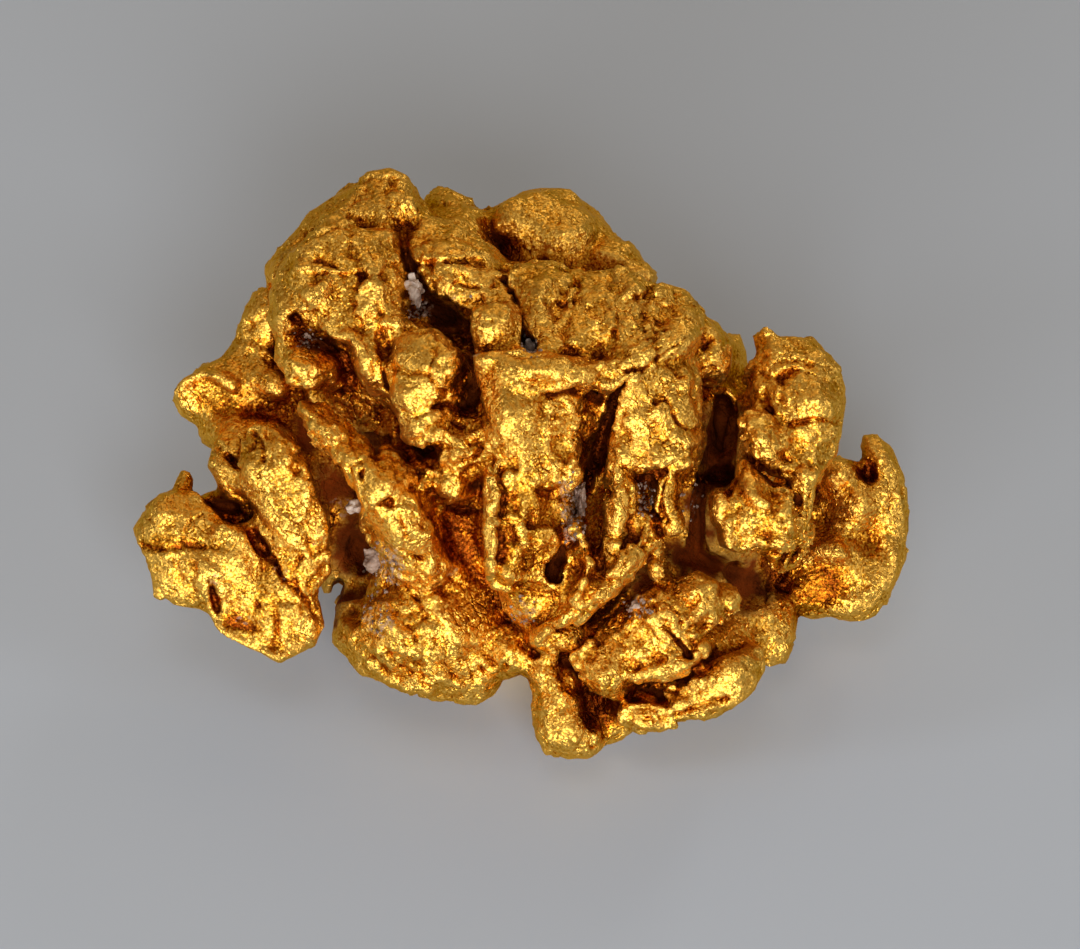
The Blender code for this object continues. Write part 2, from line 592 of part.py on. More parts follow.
def to_world(objects, nugget):
    """Tilts the face, sets the origin under the middle of the nugget and scales to metres."""
    lean = Matrix.Rotation(math.radians(FACE_TILT), 4, "X")
    corners = [lean @ vert.co for vert in nugget.data.vertices]
    middle = [
        0.5 * (min(corner[axis] for corner in corners) + max(corner[axis] for corner in corners))
        for axis in (0, 1)
    ]
    shift = Matrix.Translation((-middle[0], -middle[1], -GROUND))
    for obj in objects:
        obj.data.transform(Matrix.Scale(MM, 4) @ shift @ lean)


def main():
    clear_scene()
    part = new_collection("gold_nugget")
    cutters = new_collection("cutters")
    chance = random.Random(BACK_SEED)

    nugget = form_of_gold(part, chance)
    clefts = form_of_clefts(cutters, chance)
    cut(nugget, clefts)
    fuse(nugget)
    relax(nugget, 0.5, 2)
    crumple(nugget, *SWELL)
    crumple(nugget, *DIMPLE)
    keep_largest(nugget)
    thin_to(nugget, NUGGET_TRIANGLES)

    grains = []
    for name, (row, colour) in QUARTZ.items():
        socket = grain("socket", row, cutters, grow=SOCKET_GAP)
        hide_cutter(socket)
        cut(nugget, socket)
        stone = grain(name, row, part)
        stone.data.materials.append(quartz(name, colour))
        grains.append(stone)

    cut(nugget, ground_block(cutters))
    keep_largest(nugget)
    nugget.data.materials.clear()
    nugget.data.materials.append(gold())
    to_world([nugget, *grains], nugget)


main()
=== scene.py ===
import math
import random
import time

import bmesh
import bpy
import numpy as np
from mathutils import Matrix, Vector, noise
from mathutils.bvhtree import BVHTree
from mathutils.kdtree import KDTree


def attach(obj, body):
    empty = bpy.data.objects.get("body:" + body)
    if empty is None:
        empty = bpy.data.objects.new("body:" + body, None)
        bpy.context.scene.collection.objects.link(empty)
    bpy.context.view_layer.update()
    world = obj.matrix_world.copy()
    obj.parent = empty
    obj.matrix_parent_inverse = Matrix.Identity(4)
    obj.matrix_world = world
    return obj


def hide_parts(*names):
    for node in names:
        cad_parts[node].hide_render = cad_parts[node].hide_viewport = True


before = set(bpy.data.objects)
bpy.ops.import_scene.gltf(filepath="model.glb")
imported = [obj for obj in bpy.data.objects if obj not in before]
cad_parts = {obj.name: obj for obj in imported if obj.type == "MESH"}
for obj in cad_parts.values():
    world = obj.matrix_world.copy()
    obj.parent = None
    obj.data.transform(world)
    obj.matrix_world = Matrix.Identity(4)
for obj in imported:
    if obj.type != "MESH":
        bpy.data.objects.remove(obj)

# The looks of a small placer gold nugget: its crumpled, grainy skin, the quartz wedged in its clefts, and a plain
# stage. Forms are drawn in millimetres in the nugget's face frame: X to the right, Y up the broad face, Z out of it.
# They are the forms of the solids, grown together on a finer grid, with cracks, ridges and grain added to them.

MM = 0.001
BEGUN = time.time()

# How the nugget lies
FACE_TILT = 40.0      # degrees that the top of the broad face is raised from lying flat on its back
GROUND = -4.2         # level of the worn flat underside, along world Z from the middle of the face frame
WORLD_SHIFT = (-0.4821, -0.2196)  # puts the middle of the solids over the origin

# How finely it is formed
FUSE_VOXEL = 0.09     # grid on which lumps and folds grow together
CUT_VOXEL = 0.045     # grid of the clefts
SKIN_VOXEL = 0.05     # grid of the finished skin
NUGGET_TRIANGLES = 196000
LUMP_ROUGHNESS = 0.22  # share of a lump's radius by which its surface wanders
SWELL = (1.6, 0.16)   # wavelength and height of the broad crumpling
DIMPLE = (0.62, 0.05)  # wavelength and height of the fine crumpling
WARPS = ((1.5, 0.12), (0.7, 0.07), (0.33, 0.035))  # wavelength and reach of the flow that bends every form
FILL_PASSES = 62      # how far the creases between forms are filled
STRAND_PASSES = 11    # the same along the strands
FACETS = 11000        # flat facets left by beating
WRINKLES = ((0.9, 0.04), (0.4, 0.015), (0.19, 0.008), (0.1, 0.008))  # the same for beaten and torn metal
FLAKES = ((0.8, 0.035, 0.12), (0.34, 0.014, 0.14))  # size, lift and slope of the flakes in the skin

# Lumps: x, y, z of the middle, then half width, half height, half depth, then up to three angles in degrees:
# turn about Z (counter-clockwise), nod about X (top edge forward), swing about Y (right edge back).
LUMPS = {
    "core": (
        (0.7, 0.2, -1.0, 3.5, 3.4, 3.0),
        (3.5, -0.8, -1.1, 2.2, 2.8, 2.2),
        (-2.0, 1.7, -0.9, 2.2, 2.3, 2.2),
        (1.3, -2.9, -0.9, 2.9, 1.7, 2.2),
        (-1.4, -1.6, -0.6, 1.4, 2.1, 2.0),
    ),
    "crown": (
        (-3.05, 3.1, 0.6, 1.45, 1.2, 1.6, 0, -12),
        (-3.0, 4.3, -0.7, 1.75, 0.85, 1.4, 35),
        (-2.25, 5.0, -0.7, 0.68, 0.65, 0.9),
        (-4.05, 3.55, 0.2, 0.6, 0.6, 0.9),
        (-4.2, 2.75, 1.0, 0.36, 0.5, 0.8),
        (-4.15, 1.9, 0.8, 0.3, 0.75, 0.7),
        (-3.6, 1.55, 1.1, 0.55, 0.42, 0.7),
        (-2.58, 1.8, 1.75, 0.37, 0.7, 0.75, 25),
        (-2.05, 4.75, 0.0, 0.42, 0.5, 0.6),
        (-3.2, 4.5, 0.25, 0.5, 0.25, 0.6, 20),
    ),
    "ledges": (
        (-0.8, 3.6, -0.2, 0.95, 0.85, 1.4),
        (-1.0, 4.45, -1.2, 0.8, 0.5, 0.8),
        (-1.1, 4.85, -2.0, 0.5, 0.3, 0.6),
        (-0.05, 2.5, 1.3, 0.5, 0.55, 1.1),
        (-0.85, 2.95, 0.9, 0.4, 0.4, 1.0),
    ),
    "top_lobes": (
        (0.9, 4.3, -1.9, 1.2, 1.08, 1.5),
        (1.5, 4.25, -2.2, 0.95, 0.75, 1.1, -25),
        (0.1, 4.5, -2.0, 0.45, 0.45, 0.7),
        (2.3, 3.8, -1.4, 0.65, 0.45, 1.0),
        (2.75, 3.45, -0.9, 0.5, 0.4, 0.8),
    ),
    "brow_bulbs": (
        (0.85, 2.9, 1.0, 0.63, 0.85, 1.4),
        (0.8, 2.2, 1.5, 0.5, 0.4, 1.0),
        (2.0, 3.0, 0.9, 0.55, 0.52, 1.2),
        (1.9, 2.3, 1.3, 0.6, 0.5, 1.1),
        (3.2, 2.6, 0.9, 0.85, 0.72, 1.3),
        (3.6, 2.85, 0.5, 0.45, 0.4, 0.9),
        (4.25, 2.0, 0.3, 0.38, 0.72, 1.2),
        (4.6, 1.9, -1.2, 0.35, 0.5, 0.8),
    ),
    "middle_bulb": (
        (-1.4, 1.3, 1.8, 0.75, 0.9, 1.3),
        (-1.5, 1.95, 2.0, 0.55, 0.38, 0.8),
        (-1.05, 1.6, 2.4, 0.4, 0.38, 0.7),
        (-1.7, 0.95, 2.4, 0.38, 0.33, 0.7),
        (-1.4, 0.42, 2.3, 0.48, 0.36, 0.8),
        (-0.75, 0.3, 2.2, 0.42, 0.28, 0.8),
        (-0.7, -0.15, 2.2, 0.5, 0.24, 0.8),
        (-1.0, -0.75, 1.7, 0.5, 0.35, 0.8),
    ),
    "columns": (
        (0.3, 0.5, 2.1, 0.72, 1.1, 1.5),
        (0.35, -1.3, 1.6, 0.58, 1.6, 1.5),
        (1.25, -0.4, 1.2, 0.5, 1.5, 1.5),
        (1.3, 0.65, 1.5, 0.42, 0.45, 1.2),
        (0.8, -2.95, 1.3, 0.7, 0.55, 1.2),
        (3.0, 0.8, 1.7, 0.85, 1.1, 1.5),
        (3.3, 1.65, 1.3, 0.65, 0.5, 1.2),
        (2.5, 0.0, 1.7, 0.4, 0.7, 1.3),
        (3.5, 0.15, 1.4, 0.42, 0.6, 1.3),
        (3.2, 0.75, 2.95, 0.24, 0.22, 0.35),
    ),
    "rib": (
        (-2.0, -1.05, 1.1, 0.72, 1.1, 1.05),
        (-1.5, -2.3, 1.1, 0.7, 0.5, 1.0),
    ),
    "skirt": (
        (-1.4, -3.5, 0.6, 1.45, 1.1, 1.15),
        (-1.0, -4.3, 0.5, 1.0, 0.62, 0.7),
        (-2.3, -3.95, 0.3, 0.8, 0.65, 0.7, -15),
        (-1.8, -4.4, 0.4, 0.6, 0.42, 0.6, -10),
        (-0.35, -4.75, 0.5, 0.32, 0.3, 0.4),
        (-2.9, -3.5, -0.3, 0.52, 0.6, 0.6),
        (0.2, -4.0, 0.6, 0.5, 0.5, 0.8),
    ),
    "lower_folds": (
        (3.1, -3.4, 1.2, 0.95, 0.9, 1.2),
        (2.4, -3.8, 1.1, 0.8, 0.6, 1.1),
        (3.95, -3.0, 1.8, 0.4, 0.62, 0.6, -5),
        (4.5, -2.85, 1.4, 0.33, 0.4, 0.6),
        (2.1, -4.35, 1.3, 0.6, 0.6, 1.0),
        (3.6, -4.2, 0.3, 1.3, 0.95, 0.9),
        (5.4, -3.55, -0.6, 0.58, 0.75, 0.8),
        (1.95, -5.05, 0.12, 0.65, 0.7, 0.6),
    ),
    "fin": (
        (5.9, 1.15, 0.6, 0.97, 1.05, 1.1),
        (5.5, 2.08, 0.6, 0.24, 0.42, 0.4, 35),
        (6.2, 0.2, 0.6, 0.45, 0.7, 0.9),
        (5.3, 0.15, 1.4, 0.32, 0.75, 0.6, 30),
    ),
    "ear": (
        (6.9, -1.5, -1.5, 1.0, 1.25, 0.85),
        (7.15, -1.1, -0.8, 0.5, 0.45, 0.6),
        (6.75, -0.5, -0.8, 0.4, 0.35, 0.6),
        (6.6, -2.1, -0.6, 0.6, 0.3, 0.6),
        (6.3, -2.6, -1.2, 0.6, 0.7, 0.8),
    ),
    "left_arm": (
        (-5.1, 1.3, -1.2, 1.25, 0.58, 0.9, -6),
        (-4.9, 1.8, -1.4, 0.65, 0.5, 0.8),
        (-6.15, 1.05, -1.0, 0.5, 0.32, 0.5, 8),
        (-5.75, 1.5, -0.9, 0.5, 0.28, 0.5, -25),
        (-5.55, 0.5, -1.0, 0.58, 0.6, 0.7),
        (-4.5, 1.3, -0.3, 0.42, 0.33, 0.5),
        (-4.7, 2.6, -1.3, 0.45, 0.75, 0.8),
        (-4.2, 0.2, -1.5, 1.1, 1.3, 0.9),
    ),
    "left_flap": (
        (-4.25, -0.85, 0.85, 0.78, 1.4, 0.5, 20),
        (-4.0, -2.3, 0.8, 0.7, 0.65, 0.5),
        (-4.3, -3.3, 0.7, 0.75, 0.75, 0.45),
        (-4.35, -3.7, 0.65, 0.65, 0.42, 0.4),
        (-5.2, -3.15, 0.55, 0.85, 0.42, 0.45, -25),
        (-5.2, 0.0, -0.2, 0.58, 0.68, 0.6),
        (-5.3, -0.5, 0.2, 0.33, 0.6, 0.5, 25),
        (-5.3, -2.15, 0.6, 0.7, 0.8, 0.45),
        (-4.4, -1.0, -0.4, 0.7, 1.6, 0.8, 15),
        (-3.68, -1.6, 0.9, 0.52, 0.75, 0.4, 22),
        (-3.75, -3.2, 0.7, 0.22, 0.65, 0.35),
    ),
    "left_lobe": (
        (-6.42, -1.68, 0.1, 1.0, 0.85, 0.75),
        (-6.2, -2.4, 0.3, 0.85, 0.68, 0.6, -30),
        (-6.32, -0.68, -0.2, 0.24, 0.46, 0.28),
        (-5.7, -2.75, 0.4, 0.6, 0.55, 0.45),
    ),
    "back": (
        (0.5, -0.9, -2.9, 3.1, 2.3, 2.2),
        (0.4, -2.9, -1.9, 2.5, 1.7, 1.7),
        (-2.4, 0.9, -2.4, 1.7, 1.8, 1.5),
        (3.3, -0.5, -2.6, 1.8, 1.9, 1.4),
        (0.8, 2.4, -2.9, 1.9, 1.5, 1.3),
        (-1.2, 3.4, -2.0, 1.6, 1.2, 1.0),
        (4.8, 0.3, -1.4, 1.2, 1.3, 1.0),
        (5.3, -1.8, -1.4, 1.3, 1.2, 0.9),
        (-2.3, -2.0, -1.5, 0.75, 1.6, 1.0),
    ),
}

# Fillers: metal that stands between the forms, in the same numbers
FILLERS = (
    (1.3, 2.05, 2.0, 1.2, 0.4, 0.9),
    (2.5, 2.15, 1.9, 0.6, 0.45, 1.0),
    (-0.05, 2.1, 1.8, 0.45, 0.4, 0.9),
    (2.35, 0.4, 2.2, 0.3, 1.0, 0.7),
    (-2.8, 2.75, 1.35, 1.0, 0.8, 0.9, 0, -14),
    (-3.05, -1.8, -1.3, 0.8, 1.3, 0.6),
    (-3.6, -0.4, -1.0, 0.6, 1.0, 0.6),
    (-2.9, -3.3, -1.0, 0.55, 0.5, 0.5),
    (-1.55, 4.35, -0.1, 0.4, 0.4, 0.9),
    (-1.5, 3.6, 0.6, 0.35, 0.5, 0.9),
    (-0.1, 2.45, 2.2, 0.48, 0.48, 0.65),
    (-2.0, -0.9, 1.6, 0.6, 0.9, 0.95, 25),
    (-1.6, -1.9, 1.5, 0.45, 0.6, 1.0, 20),
    (-5.45, -1.1, -0.6, 0.55, 0.35, 0.5),
    (-5.3, -1.42, -0.35, 0.5, 0.35, 0.45),
    (1.45, 2.85, 1.25, 0.4, 0.65, 0.9),
    (2.0, 2.45, 1.85, 0.9, 0.45, 0.8),
    (2.6, 2.95, 1.3, 0.4, 0.5, 0.9),
    (2.35, -1.2, 1.9, 0.3, 0.9, 0.5),
    (-1.0, -0.6, 1.9, 0.5, 0.4, 0.6),
    (-5.3, -3.35, 0.55, 0.7, 0.35, 0.35, -30),
    (-3.7, 1.55, 1.65, 0.6, 0.38, 0.6),
    (-2.0, 2.4, 1.75, 0.4, 0.35, 0.7),
    (1.8, -2.85, 2.1, 0.62, 0.38, 0.5, 25),
    (7.0, -0.4, -1.0, 0.35, 0.25, 0.4),
    (7.2, -2.35, -0.9, 0.45, 0.5, 0.55),
    (3.1, 0.45, 2.3, 0.85, 0.85, 0.8),
    (4.75, -3.6, -0.2, 0.5, 0.45, 0.6),
    (3.2, -3.95, 1.45, 0.85, 0.32, 0.6, -8),
    (5.95, 0.1, 0.9, 0.35, 0.4, 0.5),
    (-6.0, -2.95, 0.4, 0.42, 0.28, 0.35, -30),
    (-5.62, -3.28, 0.45, 0.35, 0.2, 0.3, -30),
    (-2.4, 2.2, 1.5, 0.35, 0.3, 0.6),
    (1.75, 0.85, 1.7, 0.25, 0.5, 0.8),
    (2.78, -1.6, 2.35, 0.38, 0.42, 0.42),
    (0.08, -1.2, 2.45, 0.3, 1.3, 0.6),
    (-2.9, 2.95, 1.5, 0.4, 0.3, 0.6),
    (3.3, -4.05, 1.75, 0.75, 0.3, 0.4, -8),
    (1.2, -3.75, 1.4, 0.6, 0.3, 0.6),
    (4.85, -1.4, 1.95, 0.5, 0.45, 0.42),
    (2.2, -2.35, 2.3, 0.35, 0.3, 0.4, -45),
    (1.8, -2.75, 2.2, 0.4, 0.3, 0.45, 30),
)

# Plates: the same nine numbers for a flat block
PLATES = {
    "crown": (
        (-3.0, 4.08, 0.65, 0.95, 0.12, 0.75, 8),
        (-3.1, 3.55, 1.05, 1.0, 0.13, 0.85, -2),
        (-2.75, 2.75, 1.45, 0.7, 0.5, 0.6, 0, -14),
    ),
    "columns": (
        (0.7, 0.3, 2.6, 0.85, 1.0, 0.5, 0, 0, 18),
        (0.55, -1.5, 2.35, 0.75, 1.2, 0.45, 0, -6, 28),
        (3.0, 0.55, 2.45, 0.8, 0.95, 0.5),
    ),
    "ledges": (
        (-0.75, 3.95, 0.5, 0.72, 0.11, 0.9, -6),
        (-0.4, 3.5, 0.8, 0.72, 0.15, 1.0, -3),
        (-0.5, 3.12, 1.0, 0.62, 0.1, 0.9, -4),
        (-1.2, 3.8, 0.65, 0.42, 0.14, 0.85, 4),
        (-1.1, 3.38, 0.85, 0.4, 0.16, 0.9, -5),
        (-0.95, 3.0, 1.05, 0.4, 0.13, 0.8, -8),
    ),
    "flag": (
        (5.06, -1.45, 1.7, 0.78, 0.55, 0.5, -3, 0, -8),
        (4.85, -0.62, 1.65, 0.16, 0.36, 0.24, -12),
        (4.26, -0.98, 1.65, 0.16, 0.3, 0.24, 8),
        (5.4, -1.0, 1.6, 0.38, 0.3, 0.36, -20),
    ),
    "left_flap": (
        (-4.2, -1.0, 1.15, 0.55, 0.95, 0.22, 20),
        (-5.3, -2.1, 0.9, 0.5, 0.55, 0.2, -15),
    ),
}

# Folds: tubes along x, y, z, radius; the number before them stretches the tube along Z
FOLDS = {
    "left_rib": (3.0, (-3.95, 0.95, 1.4, 0.15), (-3.5, 0.5, 1.7, 0.19), (-3.0, -0.05, 1.9, 0.22),
                 (-2.6, -0.75, 2.0, 0.26), (-2.15, -1.5, 2.0, 0.3), (-1.7, -2.1, 1.8, 0.3)),
    "rib_face": (2.5, (-3.6, 0.85, 1.3, 0.16), (-3.15, 0.4, 1.65, 0.24), (-2.7, -0.1, 1.85, 0.28),
                 (-2.25, -0.7, 1.95, 0.38), (-1.85, -1.3, 1.95, 0.42), (-1.6, -1.9, 1.8, 0.36)),
    "brow": (2.0, (-0.35, 1.6, 2.4, 0.3), (0.4, 1.55, 2.8, 0.35), (1.2, 1.55, 2.9, 0.33),
             (2.0, 1.45, 2.9, 0.29), (2.7, 1.72, 2.7, 0.26), (3.4, 2.12, 2.4, 0.25), (3.9, 2.45, 2.0, 0.23)),
    "lower_rim": (2.5, (2.3, -5.1, 0.9, 0.25), (2.9, -5.25, 1.1, 0.24), (3.7, -5.15, 1.2, 0.25),
                  (4.4, -4.95, 1.1, 0.28), (4.88, -4.45, 0.9, 0.28), (5.05, -3.9, 0.7, 0.25)),
    "lower_roll": (2.0, (3.7, -4.75, 1.5, 0.2), (4.4, -4.4, 1.5, 0.22), (4.85, -4.1, 1.3, 0.2)),
    "tooth": (1.4, (0.9, -4.2, 0.9, 0.42), (1.08, -5.0, 1.0, 0.48), (1.35, -5.55, 1.0, 0.58),
              (1.5, -5.95, 0.9, 0.44), (1.52, -6.15, 0.9, 0.3)),
    "cup_rim": (1.8, (1.8, -5.82, 0.4, 0.26), (2.2, -5.75, 0.2, 0.22), (2.5, -5.55, 0.2, 0.22),
                (2.55, -5.1, 0.4, 0.24)),
    "side_band": (2.5, (6.1, -0.3, 1.2, 0.28), (6.05, -1.0, 1.1, 0.25), (5.85, -1.7, 1.1, 0.22),
                  (5.55, -2.3, 1.2, 0.2)),
    "ear_rim": (1.6, (7.42, 0.42, -1.3, 0.22), (7.72, -0.25, -1.1, 0.28), (7.95, -1.1, -1.0, 0.27),
                (7.93, -1.9, -1.0, 0.3), (7.7, -2.6, -0.9, 0.36), (7.25, -3.05, -0.9, 0.42),
                (6.7, -2.95, -1.0, 0.36)),
}

# Strands: crisp folds and torn lips laid on the filled form, in the same way
STRANDS = {
    "narrow_column": (1.6, (2.42, -0.3, 2.4, 0.34), (2.4, -1.0, 2.45, 0.35), (2.32, -1.7, 2.5, 0.3),
                      (2.15, -2.3, 2.45, 0.24)),
    "slab_ridge": (4.0, (-0.12, -0.2, 3.1, 0.05), (-0.13, -0.8, 3.12, 0.065), (-0.16, -1.4, 3.05, 0.06),
                   (-0.14, -1.9, 3.0, 0.065), (-0.1, -2.35, 2.9, 0.04)),
    "side_arm": (3.0, (3.4, -0.3, 2.2, 0.2), (3.3, -1.0, 2.2, 0.2), (3.5, -1.6, 2.1, 0.16)),
    "slanting_plate": (2.2, (3.0, -1.75, 2.4, 0.1), (2.48, -2.25, 2.45, 0.2), (1.98, -2.72, 2.4, 0.32),
                       (1.45, -3.12, 2.35, 0.28), (1.05, -3.4, 2.2, 0.12), (0.75, -3.65, 2.2, 0.17)),
    "slanting_lip": (3.0, (2.9, -1.75, 2.85, 0.06), (2.55, -2.05, 3.0, 0.07), (2.1, -2.5, 3.1, 0.06)),
    "cleft_blade": (4.0, (1.36, -1.25, 2.35, 0.06), (1.55, -1.9, 2.6, 0.14), (1.65, -2.5, 2.65, 0.2),
                    (1.45, -3.0, 2.5, 0.2)),
    "strand": (4.0, (3.1, -1.3, 2.1, 0.08), (3.1, -2.55, 2.0, 0.09)),
    "flake_rim": (2.5, (2.6, -4.42, 1.85, 0.1), (3.2, -4.35, 1.95, 0.12), (3.8, -4.18, 1.95, 0.12),
                  (4.18, -3.8, 1.8, 0.07)),
    "crown_lip_high": (2.5, (-4.15, 3.75, 0.8, 0.08), (-3.8, 3.6, 1.42, 0.1), (-3.35, 3.55, 1.65, 0.1),
                       (-2.9, 3.62, 1.7, 0.07)),
    "crown_lip_back": (2.5, (-3.7, 4.25, 0.6, 0.09), (-3.3, 4.35, 0.95, 0.14), (-2.95, 4.45, 0.95, 0.1)),
    "crown_hem": (1.8, (-3.5, 2.5, 1.8, 0.11), (-3.35, 2.4, 1.9, 0.16), (-3.05, 2.28, 2.0, 0.18),
                  (-2.75, 2.02, 2.05, 0.2), (-2.58, 1.65, 2.1, 0.2), (-2.48, 1.3, 2.0, 0.15)),
    "crown_ring": (2.0, (-2.3, 4.65, 0.45, 0.12), (-2.25, 4.95, 0.4, 0.1), (-1.95, 5.0, 0.35, 0.12),
                   (-1.72, 4.75, 0.3, 0.14), (-1.75, 4.5, 0.3, 0.12)),
    "arm_lip": (1.4, (-6.6, 1.1, -0.7, 0.09), (-6.1, 1.52, -0.5, 0.13), (-5.7, 1.45, -0.35, 0.13),
                (-5.3, 1.2, -0.2, 0.1)),
    "lobe_lip": (2.0, (-5.7, -3.45, 0.7, 0.07), (-5.3, -3.72, 0.75, 0.09), (-4.75, -4.02, 0.8, 0.08),
                 (-4.3, -4.12, 0.8, 0.06)),
    "flag_peak": (2.0, (4.85, -0.3, 1.75, 0.06), (4.9, -0.6, 1.9, 0.13), (5.05, -1.0, 1.95, 0.25),
                  (5.4, -1.15, 1.95, 0.25)),
    "flag_finger": (2.0, (4.2, -0.7, 1.75, 0.08), (4.32, -1.05, 1.9, 0.18), (4.42, -1.5, 1.95, 0.22),
                    (4.45, -1.95, 1.9, 0.18)),
    "fin_hook": (2.0, (5.28, 2.46, 0.7, 0.05), (5.42, 2.2, 0.75, 0.13), (5.35, 1.85, 0.8, 0.12),
                 (5.2, 1.5, 0.8, 0.08)),
    "brow_crest": (1.2, (-0.35, 1.72, 2.85, 0.12), (0.2, 1.75, 3.1, 0.2), (0.9, 1.66, 3.2, 0.22),
                   (1.6, 1.56, 3.2, 0.2), (2.2, 1.63, 3.1, 0.17), (2.8, 1.98, 2.9, 0.13),
                   (3.3, 2.3, 2.6, 0.08)),
}

# Pits: lumps that are cut out
PITS = {
    "right_cleft": (
        (4.45, 0.45, 1.9, 0.42, 1.0, 2.9),
        (4.4, -0.45, 1.9, 0.42, 0.42, 2.6),
        (3.8, -2.15, 1.8, 0.5, 0.26, 1.4),
        (4.56, -0.66, 1.75, 0.15, 0.34, 0.9, -8),
        (4.8, -2.45, 1.2, 0.5, 0.24, 1.5, -12),
    ),
    "column_pits": (
        (1.15, -2.25, 2.7, 0.16, 0.36, 1.0, -28),
        (1.25, -1.95, 2.7, 0.12, 0.2, 0.9, 20),
        (1.08, -2.5, 2.7, 0.2, 0.13, 0.9, -40),
        (2.88, -0.75, 2.6, 0.14, 0.34, 1.0),
        (-0.75, -1.8, 3.0, 0.42, 0.5, 0.8),
        (-0.7, -0.95, 2.8, 0.22, 0.12, 0.5),
        (-0.9, -2.85, 2.0, 0.42, 0.2, 0.7, -25),
        (0.45, -3.82, 2.0, 0.13, 0.26, 1.1),
    ),
    "left_gap": (
        (-2.85, -2.1, 0.6, 0.42, 0.62, 1.9),
        (-3.0, -3.25, 0.8, 0.33, 0.33, 0.8),
        (-5.5, -1.12, 0.6, 0.5, 0.2, 1.2, -15),
    ),
    "lower_hollows": (
        (3.2, -4.85, 1.9, 0.3, 0.28, 1.0),
        (1.98, -5.1, 1.25, 0.42, 0.55, 0.55),
        (1.6, -4.5, 1.5, 0.13, 0.42, 0.7, 22),
        (-4.82, -3.12, 1.1, 0.09, 0.12, 0.3, 20),
    ),
    "ear_scoops": (
        (6.65, -2.7, -0.25, 0.45, 0.2, 0.2, -8),
    ),
    "top_dimples": (
        (1.4, 3.65, 0.4, 0.16, 0.18, 1.2),
    ),
}

